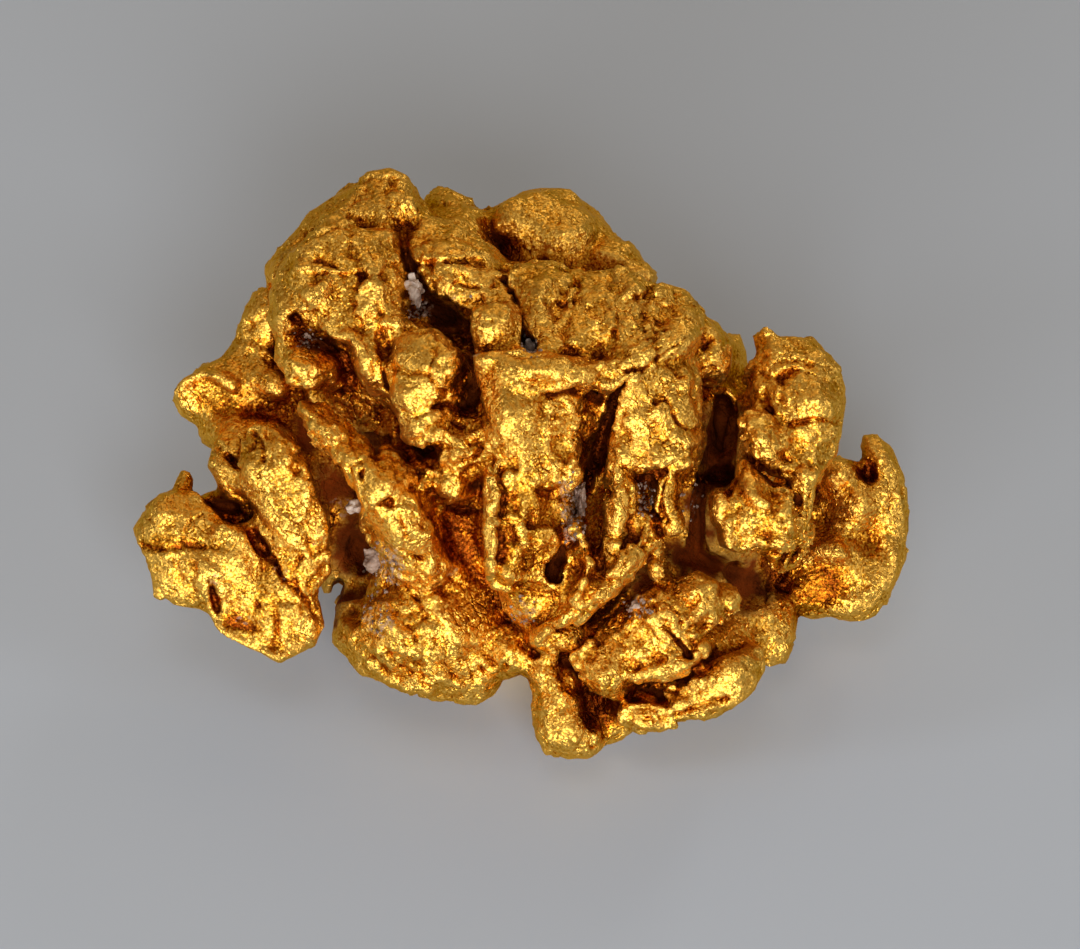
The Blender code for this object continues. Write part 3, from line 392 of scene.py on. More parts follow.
# Clefts: folds that are cut out
CLEFTS = {
    "long_cleft": (11.0, (2.5, 1.45, 3.0, 0.07), (2.3, 1.1, 3.0, 0.12), (2.15, 0.65, 2.9, 0.15),
                   (2.0, 0.2, 2.9, 0.16), (1.88, -0.2, 2.8, 0.16), (1.8, -0.6, 2.8, 0.14),
                   (1.82, -1.1, 2.8, 0.12), (1.9, -1.6, 2.8, 0.1), (1.93, -2.1, 2.8, 0.05)),
    "crown_cleft": (8.0, (-1.95, 4.15, 1.0, 0.06), (-1.85, 3.85, 1.2, 0.09), (-1.75, 3.55, 1.5, 0.1),
                    (-1.65, 3.15, 1.8, 0.14), (-1.4, 2.8, 2.0, 0.2), (-1.05, 2.6, 2.2, 0.26),
                    (-0.75, 2.4, 2.4, 0.22), (-0.5, 2.12, 2.6, 0.13), (-0.42, 1.9, 2.8, 0.06)),
    "bulb_cleft": (6.0, (-0.45, 1.75, 3.0, 0.08), (-0.65, 1.4, 3.0, 0.14), (-0.75, 1.0, 3.0, 0.12),
                   (-0.6, 0.65, 2.9, 0.08)),
    "brow_crack": (8.0, (0.05, 3.4, 1.6, 0.08), (0.28, 3.05, 1.9, 0.11), (0.42, 2.7, 2.1, 0.1),
                   (0.48, 2.4, 2.3, 0.12), (0.6, 2.05, 2.6, 0.19), (0.72, 1.85, 2.7, 0.1)),
    "right_gap": (6.0, (4.6, 1.4, 1.9, 0.12), (4.4, 0.7, 1.9, 0.3), (4.3, -0.1, 1.9, 0.36),
                  (4.0, -0.9, 1.8, 0.26), (3.95, -1.5, 1.8, 0.27), (3.98, -2.1, 1.7, 0.26),
                  (4.5, -2.42, 1.3, 0.2), (4.98, -2.65, 1.1, 0.22), (5.02, -3.15, 1.2, 0.12)),
    "slanting_gap": (7.0, (3.0, -2.05, 2.4, 0.08), (2.85, -2.35, 2.4, 0.14), (2.55, -2.85, 2.4, 0.14),
                     (2.2, -3.25, 2.3, 0.11), (1.6, -3.65, 2.2, 0.07)),
    "left_gap": (4.0, (-4.6, 0.95, 0.4, 0.18), (-4.15, 0.5, 0.7, 0.28), (-3.75, -0.1, 0.9, 0.33),
                 (-3.4, -0.8, 1.0, 0.3), (-3.05, -1.6, 1.1, 0.33), (-2.92, -2.2, 1.1, 0.35)),
    "crown_trench": (2.2, (-4.08, 2.68, 1.6, 0.12), (-3.92, 2.42, 1.8, 0.19), (-3.62, 2.12, 1.9, 0.18),
                     (-3.25, 1.93, 2.0, 0.17), (-3.0, 1.75, 2.0, 0.16), (-2.92, 1.45, 2.0, 0.15),
                     (-2.84, 1.12, 2.0, 0.15)),
    "rib_crevice": (5.0, (-3.45, 1.02, 1.9, 0.07), (-3.0, 0.82, 1.9, 0.15), (-2.62, 0.5, 1.9, 0.21),
                    (-2.42, 0.05, 1.9, 0.18), (-2.42, -0.45, 1.9, 0.08)),
    "drip_trench": (3.0, (-2.2, 1.95, 2.3, 0.05), (-2.27, 1.6, 2.2, 0.1), (-2.13, 1.15, 2.2, 0.09)),
    "fin_crack": (6.0, (5.0, 1.25, 1.5, 0.07), (5.25, 0.93, 1.7, 0.1), (5.5, 0.55, 1.8, 0.08),
                  (5.62, 0.33, 1.8, 0.04)),
    "flag_crack": (6.0, (4.9, -0.1, 1.9, 0.12), (5.3, -0.5, 2.0, 0.11), (5.75, -0.74, 1.9, 0.09),
                   (5.92, -1.1, 1.7, 0.07)),
    "flake_crack": (5.0, (2.98, -3.2, 2.35, 0.05), (3.4, -3.65, 2.3, 0.07), (3.75, -4.1, 2.1, 0.07)),
    "rim_groove": (5.0, (2.7, -4.6, 2.1, 0.06), (3.9, -4.5, 2.1, 0.07), (4.35, -4.05, 1.9, 0.09),
                   (5.0, -3.65, 1.7, 0.08)),
    "flap_slot": (6.0, (-5.62, 0.1, 0.6, 0.1), (-5.3, -0.25, 0.7, 0.12), (-5.0, -0.5, 0.7, 0.08)),
    "flap_groove": (4.0, (-5.0, -1.45, 1.1, 0.09), (-4.75, -1.95, 1.2, 0.11), (-4.4, -2.3, 1.3, 0.06)),
    "lobe_crack": (4.0, (-5.74, -2.5, 1.05, 0.06), (-5.7, -2.85, 1.05, 0.1), (-5.62, -3.25, 0.95, 0.08)),
    "left_slit": (25.0, (-3.2, -2.58, 0.0, 0.09), (-3.3, -2.8, 0.0, 0.16), (-3.42, -3.1, 0.0, 0.1),
                  (-3.47, -3.6, 0.0, 0.08)),
    "arm_scoop": (1.6, (-6.1, 1.3, -0.45, 0.08), (-5.75, 0.98, -0.25, 0.14), (-5.4, 0.82, -0.15, 0.14),
                  (-5.0, 0.82, -0.1, 0.12)),
}

# Hollows that take a dark rusty earth colour, partly packed earth and partly painted shade deep in them: x, y,
# radius, and the level that the colour stays below
EARTH_AND_SHADE = (
    (-2.9, -1.9, 0.65, 0.7),
    (-3.05, -3.25, 0.5, 0.2),
    (-3.4, -0.7, 0.5, 0.4),
    (-3.9, 0.3, 0.4, 0.2),
    (-2.5, 0.2, 0.5, 1.0),
    (-0.95, 2.5, 0.5, 1.3),
    (4.35, 0.2, 0.7, 0.9),
    (4.0, -1.3, 0.5, 1.2),
    (3.9, -2.2, 0.7, 1.2),
    (4.9, -2.7, 0.6, 0.9),
    (2.7, -2.6, 0.4, 1.9),
    (1.2, -2.35, 0.4, 2.0),
)

# Patches of the face: x, y, half width, half height, turn in degrees, strength
DUST = (              # dust of stained quartz
    (-2.35, -3.35, 0.6, 0.65, 20, 0.66),
    (-2.15, -2.25, 0.5, 0.75, 15, 0.66),
    (-1.68, 3.3, 0.3, 0.5, 10, 0.66),
    (-1.5, 2.8, 0.32, 0.35, 0, 0.66),
    (1.35, -1.2, 0.3, 1.2, 3, 0.66),
    (0.5, -3.2, 0.4, 0.5, 0, 0.6),
    (2.75, -3.05, 0.42, 0.35, -30, 0.64),
    (3.8, -1.0, 0.35, 0.5, 0, 0.56),
    (2.9, -1.0, 0.22, 0.35, 0, 0.6),
    (-0.85, 3.05, 0.35, 0.17, -5, 0.6),
    (-1.0, -2.35, 0.4, 0.3, 0, 0.56),
    (-0.45, 1.87, 0.2, 0.2, 0, 0.6),
    (-3.8, 2.15, 0.35, 0.3, 0, 0.6),
    (-3.2, -1.1, 0.35, 0.45, 0, 0.6),
    (-0.9, -3.0, 0.4, 0.3, -20, 0.56),
    (-5.68, -2.55, 0.22, 0.3, 0, 0.62),
    (-5.0, -3.42, 0.5, 0.2, -18, 0.6),
    (-3.6, -1.75, 0.25, 0.4, 0, 0.56),
    (-4.3, -2.45, 0.5, 0.25, -20, 0.56),
)
RUDDY_SHADE_AND_HIGHLIGHT = (             # patches of duller, ruddier metal and of painted shade, and painted highlight where the strength is negative
    (0.5, -1.75, 0.75, 1.7, 0, 0.24),
    (-0.75, -1.75, 0.6, 0.85, 0, 0.3),
    (3.65, -1.2, 0.6, 1.1, 0, 0.25),
    (5.6, -2.2, 0.55, 1.6, 15, 0.22),
    (-2.9, 3.9, 1.2, 0.5, 0, 0.1),
    (0.6, 3.45, 0.7, 0.4, 0, 0.1),
    (1.95, -5.0, 0.55, 0.8, 0, 0.22),
    (-0.18, -1.3, 0.16, 1.3, 0, -0.45),
    (6.45, -2.75, 0.65, 0.6, -10, 0.5),
    (7.35, -0.4, 0.5, 0.3, -30, 0.35),
    (-3.0, 1.5, 0.25, 0.7, 12, 0.3),
    (-3.75, 2.25, 0.5, 0.3, -40, 0.3),
    (-5.55, 0.9, 0.9, 0.25, -12, 0.2),
    (-1.0, -2.3, 0.35, 0.3, 0, -0.2),
    (-4.2, -2.4, 0.8, 0.28, -20, 0.3),
    (-6.7, -1.85, 0.8, 0.22, 0, 0.28),
    (-5.15, -3.45, 0.6, 0.17, -18, 0.45),
    (-4.6, -3.15, 0.5, 0.5, 0, 0.15),
    (-4.95, 0.05, 0.3, 0.5, 15, 0.25),
    (-6.3, -0.6, 0.3, 0.42, 0, 0.3),
)
SMOOTH = (            # metal that stayed smooth
    (-0.75, -1.75, 0.6, 0.85, 0, 0.8),
    (0.9, 4.4, 1.8, 1.3, 0, 0.5),
    (1.95, -5.0, 0.7, 0.9, 0, 0.7),
    (7.1, -1.5, 1.3, 2.0, 0, 0.4),
    (0.5, 1.2, 1.2, 1.0, 0, 0.4),
    (3.1, 0.6, 1.0, 1.2, 0, 0.3),
    (-5.0, 1.2, 1.2, 0.7, 0, 0.4),
)

GOLD_CRUMBS = (       # loose and welded crumbs of gold
    (5.8, -1.6, 0.4, 1.1, 10, 1.0),
    (5.45, -2.7, 0.4, 0.9, 20, 1.0),
    (4.7, -3.45, 0.8, 0.35, 20, 0.8),
    (3.2, -2.2, 0.4, 0.7, 0, 0.5),
    (0.6, -1.9, 0.55, 1.2, 0, 0.45),
    (1.25, 0.4, 0.4, 0.5, 0, 0.6),
    (-3.4, 0.2, 0.3, 0.9, -40, 0.4),
    (-0.2, -3.9, 0.6, 0.4, 0, 0.3),
    (3.4, -3.3, 0.7, 0.6, 0, 0.3),
)
QUARTZ_CRUMBS = (     # crumbs of quartz caught in the clefts
    (-2.3, -2.3, 0.5, 0.6, 15, 0.5),
    (-2.4, -3.3, 0.5, 0.6, 20, 0.3),
    (-1.6, 2.75, 0.3, 0.3, 0, 0.8),
    (0.6, 2.0, 0.25, 0.3, 20, 1.0),
    (1.45, -1.2, 0.28, 0.9, 3, 0.7),
    (2.85, -0.95, 0.25, 0.45, 0, 0.9),
    (2.7, -3.1, 0.4, 0.3, -30, 0.6),
    (-3.85, 2.15, 0.35, 0.3, 0, 0.5),
    (0.45, -3.2, 0.35, 0.4, 0, 0.4),
    (3.8, -1.0, 0.3, 0.5, 0, 0.3),
    (-0.8, 3.05, 0.3, 0.15, 0, 0.4),
)
CRUMBS = (            # name, patches, how many a square millimetre, radius in mm, seed
    ("gold_crumbs", GOLD_CRUMBS, 55.0, 0.045, 3),
    ("quartz_crumbs", QUARTZ_CRUMBS, 60.0, 0.042, 4),
)

# Quartz grains: the same numbers as a lump, and a colour
QUARTZ = {
    "quartz_left_hollow": ((-2.35, -2.15, 0.5, 0.42, 0.5, 0.4, 15), (0.33, 0.24, 0.17)),
    "quartz_left_pebble": ((-2.86, -1.15, 0.85, 0.25, 0.23, 0.22), (0.62, 0.55, 0.48)),
    "quartz_upper_cleft": ((-1.68, 3.12, 1.35, 0.18, 0.4, 0.3, 15), (0.6, 0.5, 0.46)),
    "quartz_mid_crack": ((0.6, 2.0, 2.2, 0.13, 0.22, 0.25, 25), (0.75, 0.7, 0.62)),
    "quartz_long_cleft": ((1.6, -1.0, 2.2, 0.12, 0.42, 0.35), (0.45, 0.36, 0.34)),
    "quartz_lower_notch": ((2.72, -3.1, 1.95, 0.2, 0.17, 0.3, -30), (0.55, 0.48, 0.42)),
}

GRAIN_CHIPS = 9       # chips on each grain
GRAIN_SEED = 5

# The unseen back: seeded lumps on the shell of the core, and cracks that wander over it
BACK_SEED = 17
BACK_LUMPS = 40
BACK_CRACKS = 16
BACK_SHELL = (0.7, 0.1, -1.3, 4.3, 3.5, 3.2)
BACK_REACH = 0.85     # how near to the rim of that shell they come

# Fine relief of the broad face: kind, height, half width, then the route in the face frame.
# A crack is pressed in, a ridge is raised, and a ledge steps down on the left of its route.
RELIEF = (
    # crown
    ("crack", 0.06, 0.08, (-3.9, 4.35), (-3.5, 4.45), (-3.1, 4.5), (-2.9, 4.6)),
    ("crack", 0.06, 0.12, (-2.3, 5.0), (-2.15, 5.4)),
    ("ledge", 0.12, 0.30, (-4.2, 3.95), (-3.8, 4.1), (-3.4, 4.3), (-3.0, 4.35), (-2.5, 4.3), (-2.0, 4.35)),
    ("ledge", 0.12, 0.25, (-4.0, 3.6), (-3.6, 3.65), (-3.3, 3.6)),
    ("crack", 0.10, 0.06, (-3.6, 3.45), (-3.2, 3.5), (-2.7, 3.4), (-2.2, 3.3)),
    ("ridge", 0.06, 0.15, (-3.85, 3.1), (-3.6, 3.02), (-3.4, 3.08)),
    ("ridge", 0.08, 0.10, (-3.9, 2.75), (-3.5, 2.9), (-3.35, 3.05)),
    ("ridge", 0.10, 0.12, (-3.6, 2.4), (-3.3, 2.2), (-2.9, 2.25), (-2.7, 1.9), (-2.55, 1.5)),
    # ledges
    ("crack", 0.10, 0.06, (-1.1, 3.72), (-0.65, 3.72)),
    ("crack", 0.10, 0.06, (-0.9, 3.25), (-0.4, 3.2), (0.0, 3.25)),
    ("crack", 0.10, 0.06, (-0.7, 2.75), (-0.3, 2.85), (0.1, 2.75)),
    # bulbs of the brow
    ("crack", 0.14, 0.09, (0.05, 3.55), (0.4, 3.74), (0.9, 3.76), (1.3, 3.58)),
    ("crack", 0.12, 0.08, (1.5, 3.45), (1.55, 3.15), (1.45, 2.95)),
    ("crack", 0.10, 0.08, (1.45, 2.95), (1.35, 2.6), (1.3, 2.2), (1.35, 2.05)),
    ("crack", 0.10, 0.08, (2.2, 2.2), (2.3, 2.6), (2.6, 2.95), (3.1, 3.0)),
    ("crack", 0.05, 0.05, (2.65, 2.8), (2.65, 2.6)),
    ("crack", 0.05, 0.05, (3.2, 2.85), (3.3, 2.6)),
    ("crack", 0.05, 0.05, (2.3, 2.45), (2.9, 2.3)),
    # brow
    ("crack", 0.15, 0.06, (2.45, 1.5), (2.8, 1.6), (3.1, 1.8), (3.45, 2.05), (3.6, 2.15)),
    ("crack", 0.10, 0.10, (-0.3, 1.95), (0.1, 1.9), (0.7, 1.85), (1.4, 1.95), (2.0, 1.8), (2.6, 1.9), (3.2, 2.3)),
    ("ridge", 0.06, 0.12, (0.4, 1.2), (1.0, 1.15), (1.5, 1.35), (2.0, 1.2)),
    ("crack", 0.22, 0.08, (1.0, 1.05), (1.3, 1.15), (1.6, 1.1)),
    ("ridge", 0.06, 0.06, (1.05, 0.8), (1.4, 0.75)),
    ("ridge", 0.06, 0.06, (1.3, 0.95), (1.5, 0.7)),
    ("ridge", 0.06, 0.06, (1.1, 0.55), (1.5, 0.5)),
    ("ridge", 0.06, 0.06, (1.0, 0.3), (1.4, 0.35)),
    # right-hand column
    ("crack", 0.12, 0.06, (3.05, 0.95), (3.25, 0.98), (3.4, 0.8), (3.45, 0.55), (3.6, 0.4), (3.9, 0.4)),
    ("ridge", 0.08, 0.10, (3.35, 0.25), (3.7, 0.15), (4.0, 0.25)),
    ("ledge", 0.12, 0.25, (3.9, 0.0), (3.4, -0.2), (3.0, -0.45), (2.6, -0.4), (2.2, -0.1)),
    # middle bulb
    ("crack", 0.12, 0.08, (-2.0, 1.55), (-1.5, 1.45), (-1.2, 1.2), (-1.0, 1.1)),
    ("crack", 0.12, 0.08, (-1.9, 0.75), (-1.5, 0.7), (-1.2, 0.85), (-0.95, 0.9)),
    ("crack", 0.12, 0.08, (-1.95, 0.15), (-1.4, 0.15), (-1.1, 0.25)),
    ("crack", 0.10, 0.07, (-1.25, 2.1), (-1.3, 1.7), (-1.4, 1.45)),
    ("crack", 0.12, 0.07, (-0.9, 0.55), (-0.6, 0.4), (-0.35, 0.5)),
    ("crack", 0.12, 0.07, (-1.0, -0.1), (-0.6, -0.2), (-0.35, 0.05)),
    ("crack", 0.12, 0.08, (-1.3, -0.3), (-0.9, -0.45), (-0.5, -0.35)),
    ("crack", 0.12, 0.08, (-1.3, -0.9), (-1.0, -1.1), (-0.7, -1.2), (-0.3, -1.2)),
    # middle column
    ("ridge", 0.12, 0.07, (-0.15, -0.25), (-0.11, -0.8), (-0.17, -1.3), (-0.14, -1.8), (-0.12, -2.35)),
    ("crack", 0.06, 0.12, (0.9, 1.0), (0.75, 0.2), (0.6, -0.5), (0.6, -1.2), (0.65, -1.9)),
    ("ridge", 0.07, 0.08, (1.45, 0.2), (1.35, -0.5), (1.4, -0.9), (1.3, -1.5)),
    # slanting plate
    ("ridge", 0.08, 0.08, (2.3, -2.6), (1.6, -3.1), (0.7, -3.7)),
    ("crack", 0.12, 0.06, (1.05, -3.45), (1.35, -3.5)),
    # right-hand columns
    ("crack", 0.12, 0.07, (2.6, -0.8), (2.55, -1.5), (2.4, -2.2)),
    ("crack", 0.12, 0.07, (3.25, -0.6), (3.15, -1.1), (3.3, -1.4)),
    ("crack", 0.12, 0.07, (2.9, -1.3), (2.6, -1.9), (2.4, -2.3), (2.3, -2.45)),
    # lower right
    ("crack", 0.12, 0.06, (3.0, -3.05), (3.15, -3.3), (3.35, -3.45)),
    ("crack", 0.10, 0.06, (3.15, -2.95), (3.5, -3.2), (3.6, -3.5)),
    ("crack", 0.10, 0.06, (3.5, -2.9), (3.75, -3.05), (3.9, -2.85)),
    ("crack", 0.12, 0.07, (4.36, -2.5), (4.38, -2.8), (4.45, -3.15)),
    ("ridge", 0.08, 0.08, (4.25, -2.6), (4.23, -3.1), (4.1, -3.6), (3.9, -4.0)),
    ("crack", 0.12, 0.10, (3.5, -5.2), (4.5, -4.9)),
    # skirt
    ("crack", 0.08, 0.05, (-1.9, -2.7), (-1.65, -2.9), (-1.5, -3.15)),
    ("crack", 0.08, 0.05, (-1.35, -3.1), (-1.2, -3.4), (-0.95, -3.5)),
    ("crack", 0.12, 0.06, (-1.9, -3.35), (-1.7, -3.6), (-1.65, -3.75)),
    ("crack", 0.07, 0.05, (-1.4, -3.6), (-1.2, -3.9), (-1.0, -4.0)),
    ("crack", 0.07, 0.05, (-1.8, -4.0), (-1.5, -4.35), (-1.3, -4.5)),
    ("crack", 0.07, 0.05, (-2.3, -3.9), (-2.1, -4.2), (-1.85, -4.35)),
    ("crack", 0.08, 0.05, (-1.1, -4.2), (-0.9, -4.5), (-0.75, -4.6)),
    ("crack", 0.08, 0.05, (-0.9, -3.3), (-0.65, -3.6), (-0.55, -3.9)),
    ("crack", 0.08, 0.05, (-0.4, -3.95), (-0.15, -4.2), (0.05, -4.25)),
    ("ridge", 0.07, 0.10, (-2.2, -3.3), (-1.95, -3.7), (-1.9, -4.0)),
    ("ridge", 0.07, 0.10, (-0.45, -3.75), (-0.1, -3.6), (0.25, -3.45)),
    ("ridge", 0.06, 0.12, (-2.6, -4.25), (-2.0, -4.6), (-1.4, -4.75)),
    ("crack", 0.10, 0.07, (-1.2, -2.2), (-0.95, -2.55), (-0.7, -2.75)),
    ("crack", 0.10, 0.07, (-1.9, -2.0), (-1.5, -2.2)),
    ("crack", 0.10, 0.07, (-0.4, -4.3), (-0.1, -4.5), (0.1, -4.3)),
    # rib
    ("crack", 0.10, 0.06, (-3.35, 0.75), (-3.0, 0.35), (-2.75, -0.1), (-2.7, -0.55)),
    ("crack", 0.10, 0.06, (-2.3, -0.5), (-2.1, -1.1), (-1.8, -1.7)),
    ("crack", 0.10, 0.06, (-1.6, -0.3), (-1.5, -1.0)),
    # left flap
    ("crack", 0.12, 0.07, (-4.95, 0.35), (-4.7, 0.15), (-4.65, -0.2)),
    ("crack", 0.12, 0.08, (-3.9, -2.1), (-4.1, -2.4), (-4.0, -2.8)),
    ("crack", 0.12, 0.08, (-4.5, -2.2), (-4.2, -2.6), (-3.8, -3.0), (-3.65, -3.3)),
    ("crack", 0.07, 0.10, (-4.6, -3.0), (-4.4, -3.5), (-4.5, -3.9)),
    ("crack", 0.08, 0.06, (-5.5, -2.6), (-5.1, -2.75), (-4.8, -3.0)),
    ("crack", 0.12, 0.06, (-5.45, -3.45), (-5.15, -3.5), (-4.85, -3.6)),
    ("crack", 0.08, 0.06, (-6.3, -1.9), (-6.2, -1.5), (-5.9, -1.3)),
    ("crack", 0.08, 0.06, (-3.9, -2.9), (-3.9, -3.3)),
    # left lobe
    ("ledge", 0.10, 0.25, (-7.2, -2.0), (-6.6, -2.05), (-6.0, -1.95), (-5.6, -2.0)),
    ("crack", 0.05, 0.10, (-6.5, -2.2), (-6.3, -2.6)),
    ("crack", 0.05, 0.10, (-6.1, -2.2), (-6.1, -2.9)),
    ("crack", 0.08, 0.06, (-5.8, -2.1), (-5.6, -2.3)),
    # fin and flag
    ("ledge", 0.08, 0.15, (6.4, 1.7), (5.9, 1.85), (5.4, 1.75)),
    ("ledge", 0.08, 0.15, (6.5, 1.4), (5.9, 1.6), (5.3, 1.55)),
    ("crack", 0.10, 0.08, (5.75, 0.45), (6.2, 0.6), (6.7, 0.5)),
    ("crack", 0.10, 0.06, (6.1, -0.2), (6.15, -0.9), (6.0, -1.5), (5.85, -2.1), (5.6, -2.7)),
    ("crack", 0.10, 0.06, (5.9, -1.2), (5.75, -1.9), (5.45, -2.5), (5.3, -3.1)),
)


# ---------------------------------------------------------------- forms, in millimetres in the face frame

def placed(x, y, z, width, height, depth, turn=0.0, nod=0.0, swing=0.0):
    """The matrix that stretches a unit shape, turns it and puts it in its place."""
    turned = (
        Matrix.Rotation(math.radians(turn), 4, "Z")
        @ Matrix.Rotation(math.radians(swing), 4, "Y")
        @ Matrix.Rotation(math.radians(nod), 4, "X")
    )
    return Matrix.Translation((x, y, z)) @ turned @ Matrix.Diagonal((width, height, depth, 1.0))


def add_lump(mesh, row, roughness=LUMP_ROUGHNESS, subdivisions=3):
    """A ball with an uneven surface, stretched and placed by its row."""
    verts = bmesh.ops.create_icosphere(mesh, subdivisions=subdivisions, radius=1.0)["verts"]
    shift = Vector(row[:3]) * 3.7
    for vert in verts:
        vert.co *= 1.0 + roughness * noise.noise(vert.co * 1.9 + shift)
    bmesh.ops.transform(mesh, matrix=placed(*row), verts=verts)


def add_plate(mesh, row):
    verts = bmesh.ops.create_cube(mesh, size=2.0)["verts"]
    bmesh.ops.transform(mesh, matrix=placed(*row), verts=verts)


def add_fold(mesh, fold, steps=4, uneven=0.0):
    """A tube of changing radius through the stops, stretched along Z, with closed ends."""
    stretch, *stops = fold
    curve = bpy.data.curves.new("fold", "CURVE")
    curve.dimensions = "3D"
    curve.resolution_u = steps
    curve.bevel_depth = 1.0
    curve.bevel_resolution = 2
    curve.use_fill_caps = True
    spline = curve.splines.new("BEZIER")
    spline.bezier_points.add(len(stops) - 1)
    for point, (x, y, z, radius) in zip(spline.bezier_points, stops):
        point.co = (x, y, z / stretch)
        point.handle_left_type = "AUTO"
        point.handle_right_type = "AUTO"
        point.radius = radius
    obj = bpy.data.objects.new("fold", curve)
    bpy.context.scene.collection.objects.link(obj)
    bpy.context.view_layer.update()
    seen = obj.evaluated_get(bpy.context.evaluated_depsgraph_get())
    made = bpy.data.meshes.new_from_object(seen)
    made.transform(Matrix.Diagonal((1.0, 1.0, stretch, 1.0)))
    if uneven:
        for vert in made.vertices:
            vert.co += uneven * noise.noise_vector(vert.co / 0.45) + 0.5 * uneven * noise.noise_vector(vert.co / 0.17)
    mesh.from_mesh(made)
    bpy.data.objects.remove(obj, do_unlink=True)
    bpy.data.curves.remove(curve)
    bpy.data.meshes.remove(made)


def back_lumps(chance):
    """Lumps scattered over the half of the core's shell that faces away."""
    x, y, z, width, height, depth = BACK_SHELL
    for _ in range(BACK_LUMPS):
        around = chance.uniform(0.0, math.tau)
        out = BACK_REACH * chance.uniform(0.0, 1.0) ** 0.5
        size = chance.uniform(0.45, 0.95)
        place = (
            x + width * out * math.cos(around),
            y + height * out * math.sin(around),
            z - depth * math.sqrt(1.0 - out * out),
        )
        sizes = (size * chance.uniform(0.8, 1.5), size * chance.uniform(0.7, 1.1), size * 0.75)
        yield (*place, *sizes, chance.uniform(-60.0, 60.0))


def back_cracks(chance):
    """Cracks that wander over the same shell."""
    x, y, z, width, height, depth = BACK_SHELL
    for _ in range(BACK_CRACKS):
        around = chance.uniform(0.0, math.tau)
        out = chance.uniform(0.1, 0.9)
        heading = chance.uniform(0.0, math.tau)
        across = out * math.cos(around)
        along = out * math.sin(around)
        stops = []
        for step in range(5):
            reach = min(0.97, math.hypot(across, along))
            level = z - 1.08 * depth * math.sqrt(1.0 - 0.9 * reach * reach)
            radius = (0.06, 0.13, 0.17, 0.12, 0.05)[step]
            stops.append((x + width * across, y + height * along, level, radius))
            heading += chance.uniform(-0.7, 0.7)
            across += 0.13 * math.cos(heading)
            along += 0.15 * math.sin(heading)
        yield (4.5, *stops)


def object_from(mesh, name):
    data = bpy.data.meshes.new(name)
    mesh.to_mesh(data)
    mesh.free()
    obj = bpy.data.objects.new(name, data)
    bpy.context.scene.collection.objects.link(obj)
    return obj


def settle(obj):
    """Applies the object's modifiers."""
    bpy.context.view_layer.update()
    seen = obj.evaluated_get(bpy.context.evaluated_depsgraph_get())
    made = bpy.data.meshes.new_from_object(seen)
    old = obj.data
    obj.modifiers.clear()
    obj.data = made
    bpy.data.meshes.remove(old)


def fuse(obj, voxel):
    remesh = obj.modifiers.new("fuse", "REMESH")
    remesh.mode = "VOXEL"
    remesh.voxel_size = voxel
    settle(obj)


def crumple(obj, wavelength, height):
    texture = bpy.data.textures.new("crumple", "CLOUDS")
    texture.noise_scale = wavelength
    texture.noise_depth = 1
    push = obj.modifiers.new("crumple", "DISPLACE")
    push.texture = texture
    push.texture_coords = "LOCAL"
    push.mid_level = 0.5
    push.strength = 2.0 * height
    settle(obj)


def relax(obj, factor, repeats):
    smooth = obj.modifiers.new("relax", "SMOOTH")
    smooth.factor = factor
    smooth.iterations = repeats
    settle(obj)


def cut(obj, cutter, solver):
    knife = obj.modifiers.new("cut", "BOOLEAN")
    knife.operation = "DIFFERENCE"
    knife.solver = solver
    knife.object = cutter
    settle(obj)
    bpy.data.objects.remove(cutter, do_unlink=True)


def points_of(obj):
    mesh = obj.data
    spots = np.empty(len(mesh.vertices) * 3, dtype=np.float32)
    mesh.vertices.foreach_get("co", spots)
    normals = np.empty(len(mesh.vertices) * 3, dtype=np.float32)
    mesh.vertices.foreach_get("normal", normals)
    return spots.reshape(-1, 3).astype(float), normals.reshape(-1, 3).astype(float)


def move_points(obj, spots):
    obj.data.vertices.foreach_set("co", spots.astype(np.float32).ravel())
    obj.data.update()


def keep_largest(obj):
    """Drops crumbs and sealed bubbles: only the largest connected surface stays."""
    mesh = obj.data
    count = len(mesh.vertices)
    ends = np.empty(len(mesh.edges) * 2, dtype=np.int64)
    mesh.edges.foreach_get("vertices", ends)
    first, second = ends.reshape(-1, 2).T
    label = np.arange(count)
    while True:
        low = np.minimum(label[first], label[second])
        before = label.copy()
        np.minimum.at(label, first, low)
        np.minimum.at(label, second, low)
        label = label[label]
        if (label == before).all():
            break
    kept = np.bincount(label).argmax()
    work = bmesh.new()
    work.from_mesh(mesh)
    work.verts.ensure_lookup_table()
    crumbs = [work.verts[i] for i in np.nonzero(label != kept)[0]]
    bmesh.ops.delete(work, geom=crumbs, context="VERTS")
    work.to_mesh(mesh)
    work.free()


def form_of_gold(chance):
    """Every lump, plate and fold, grown together."""
    mesh = bmesh.new()
    for rows in LUMPS.values():
        for row in rows:
            add_lump(mesh, row)
    for row in (*back_lumps(chance), *FILLERS):
        add_lump(mesh, row)
    for rows in PLATES.values():
        for row in rows:
            add_plate(mesh, row)
    for fold in FOLDS.values():
        add_fold(mesh, fold)
    obj = object_from(mesh, "gold_nugget")
    fuse(obj, FUSE_VOXEL)
    return obj


def lay_strands(obj):
    """Joins the strands to the filled form."""
    mesh = bmesh.new()
    mesh.from_mesh(obj.data)
    for strand in STRANDS.values():
        add_fold(mesh, strand, steps=8, uneven=0.07)
    mesh.to_mesh(obj.data)
    mesh.free()
    fuse(obj, SKIN_VOXEL)


def form_of_clefts(chance):
    """Every pit and cleft, grown together into one cutter."""
    mesh = bmesh.new()
    for rows in PITS.values():
        for row in rows:
            add_lump(mesh, row)
    for cleft in CLEFTS.values():
        add_fold(mesh, cleft)
    for crack in back_cracks(chance):
        add_fold(mesh, crack)
    obj = object_from(mesh, "clefts")
    fuse(obj, CUT_VOXEL)
    return obj


# ---------------------------------------------------------------- the fine surface

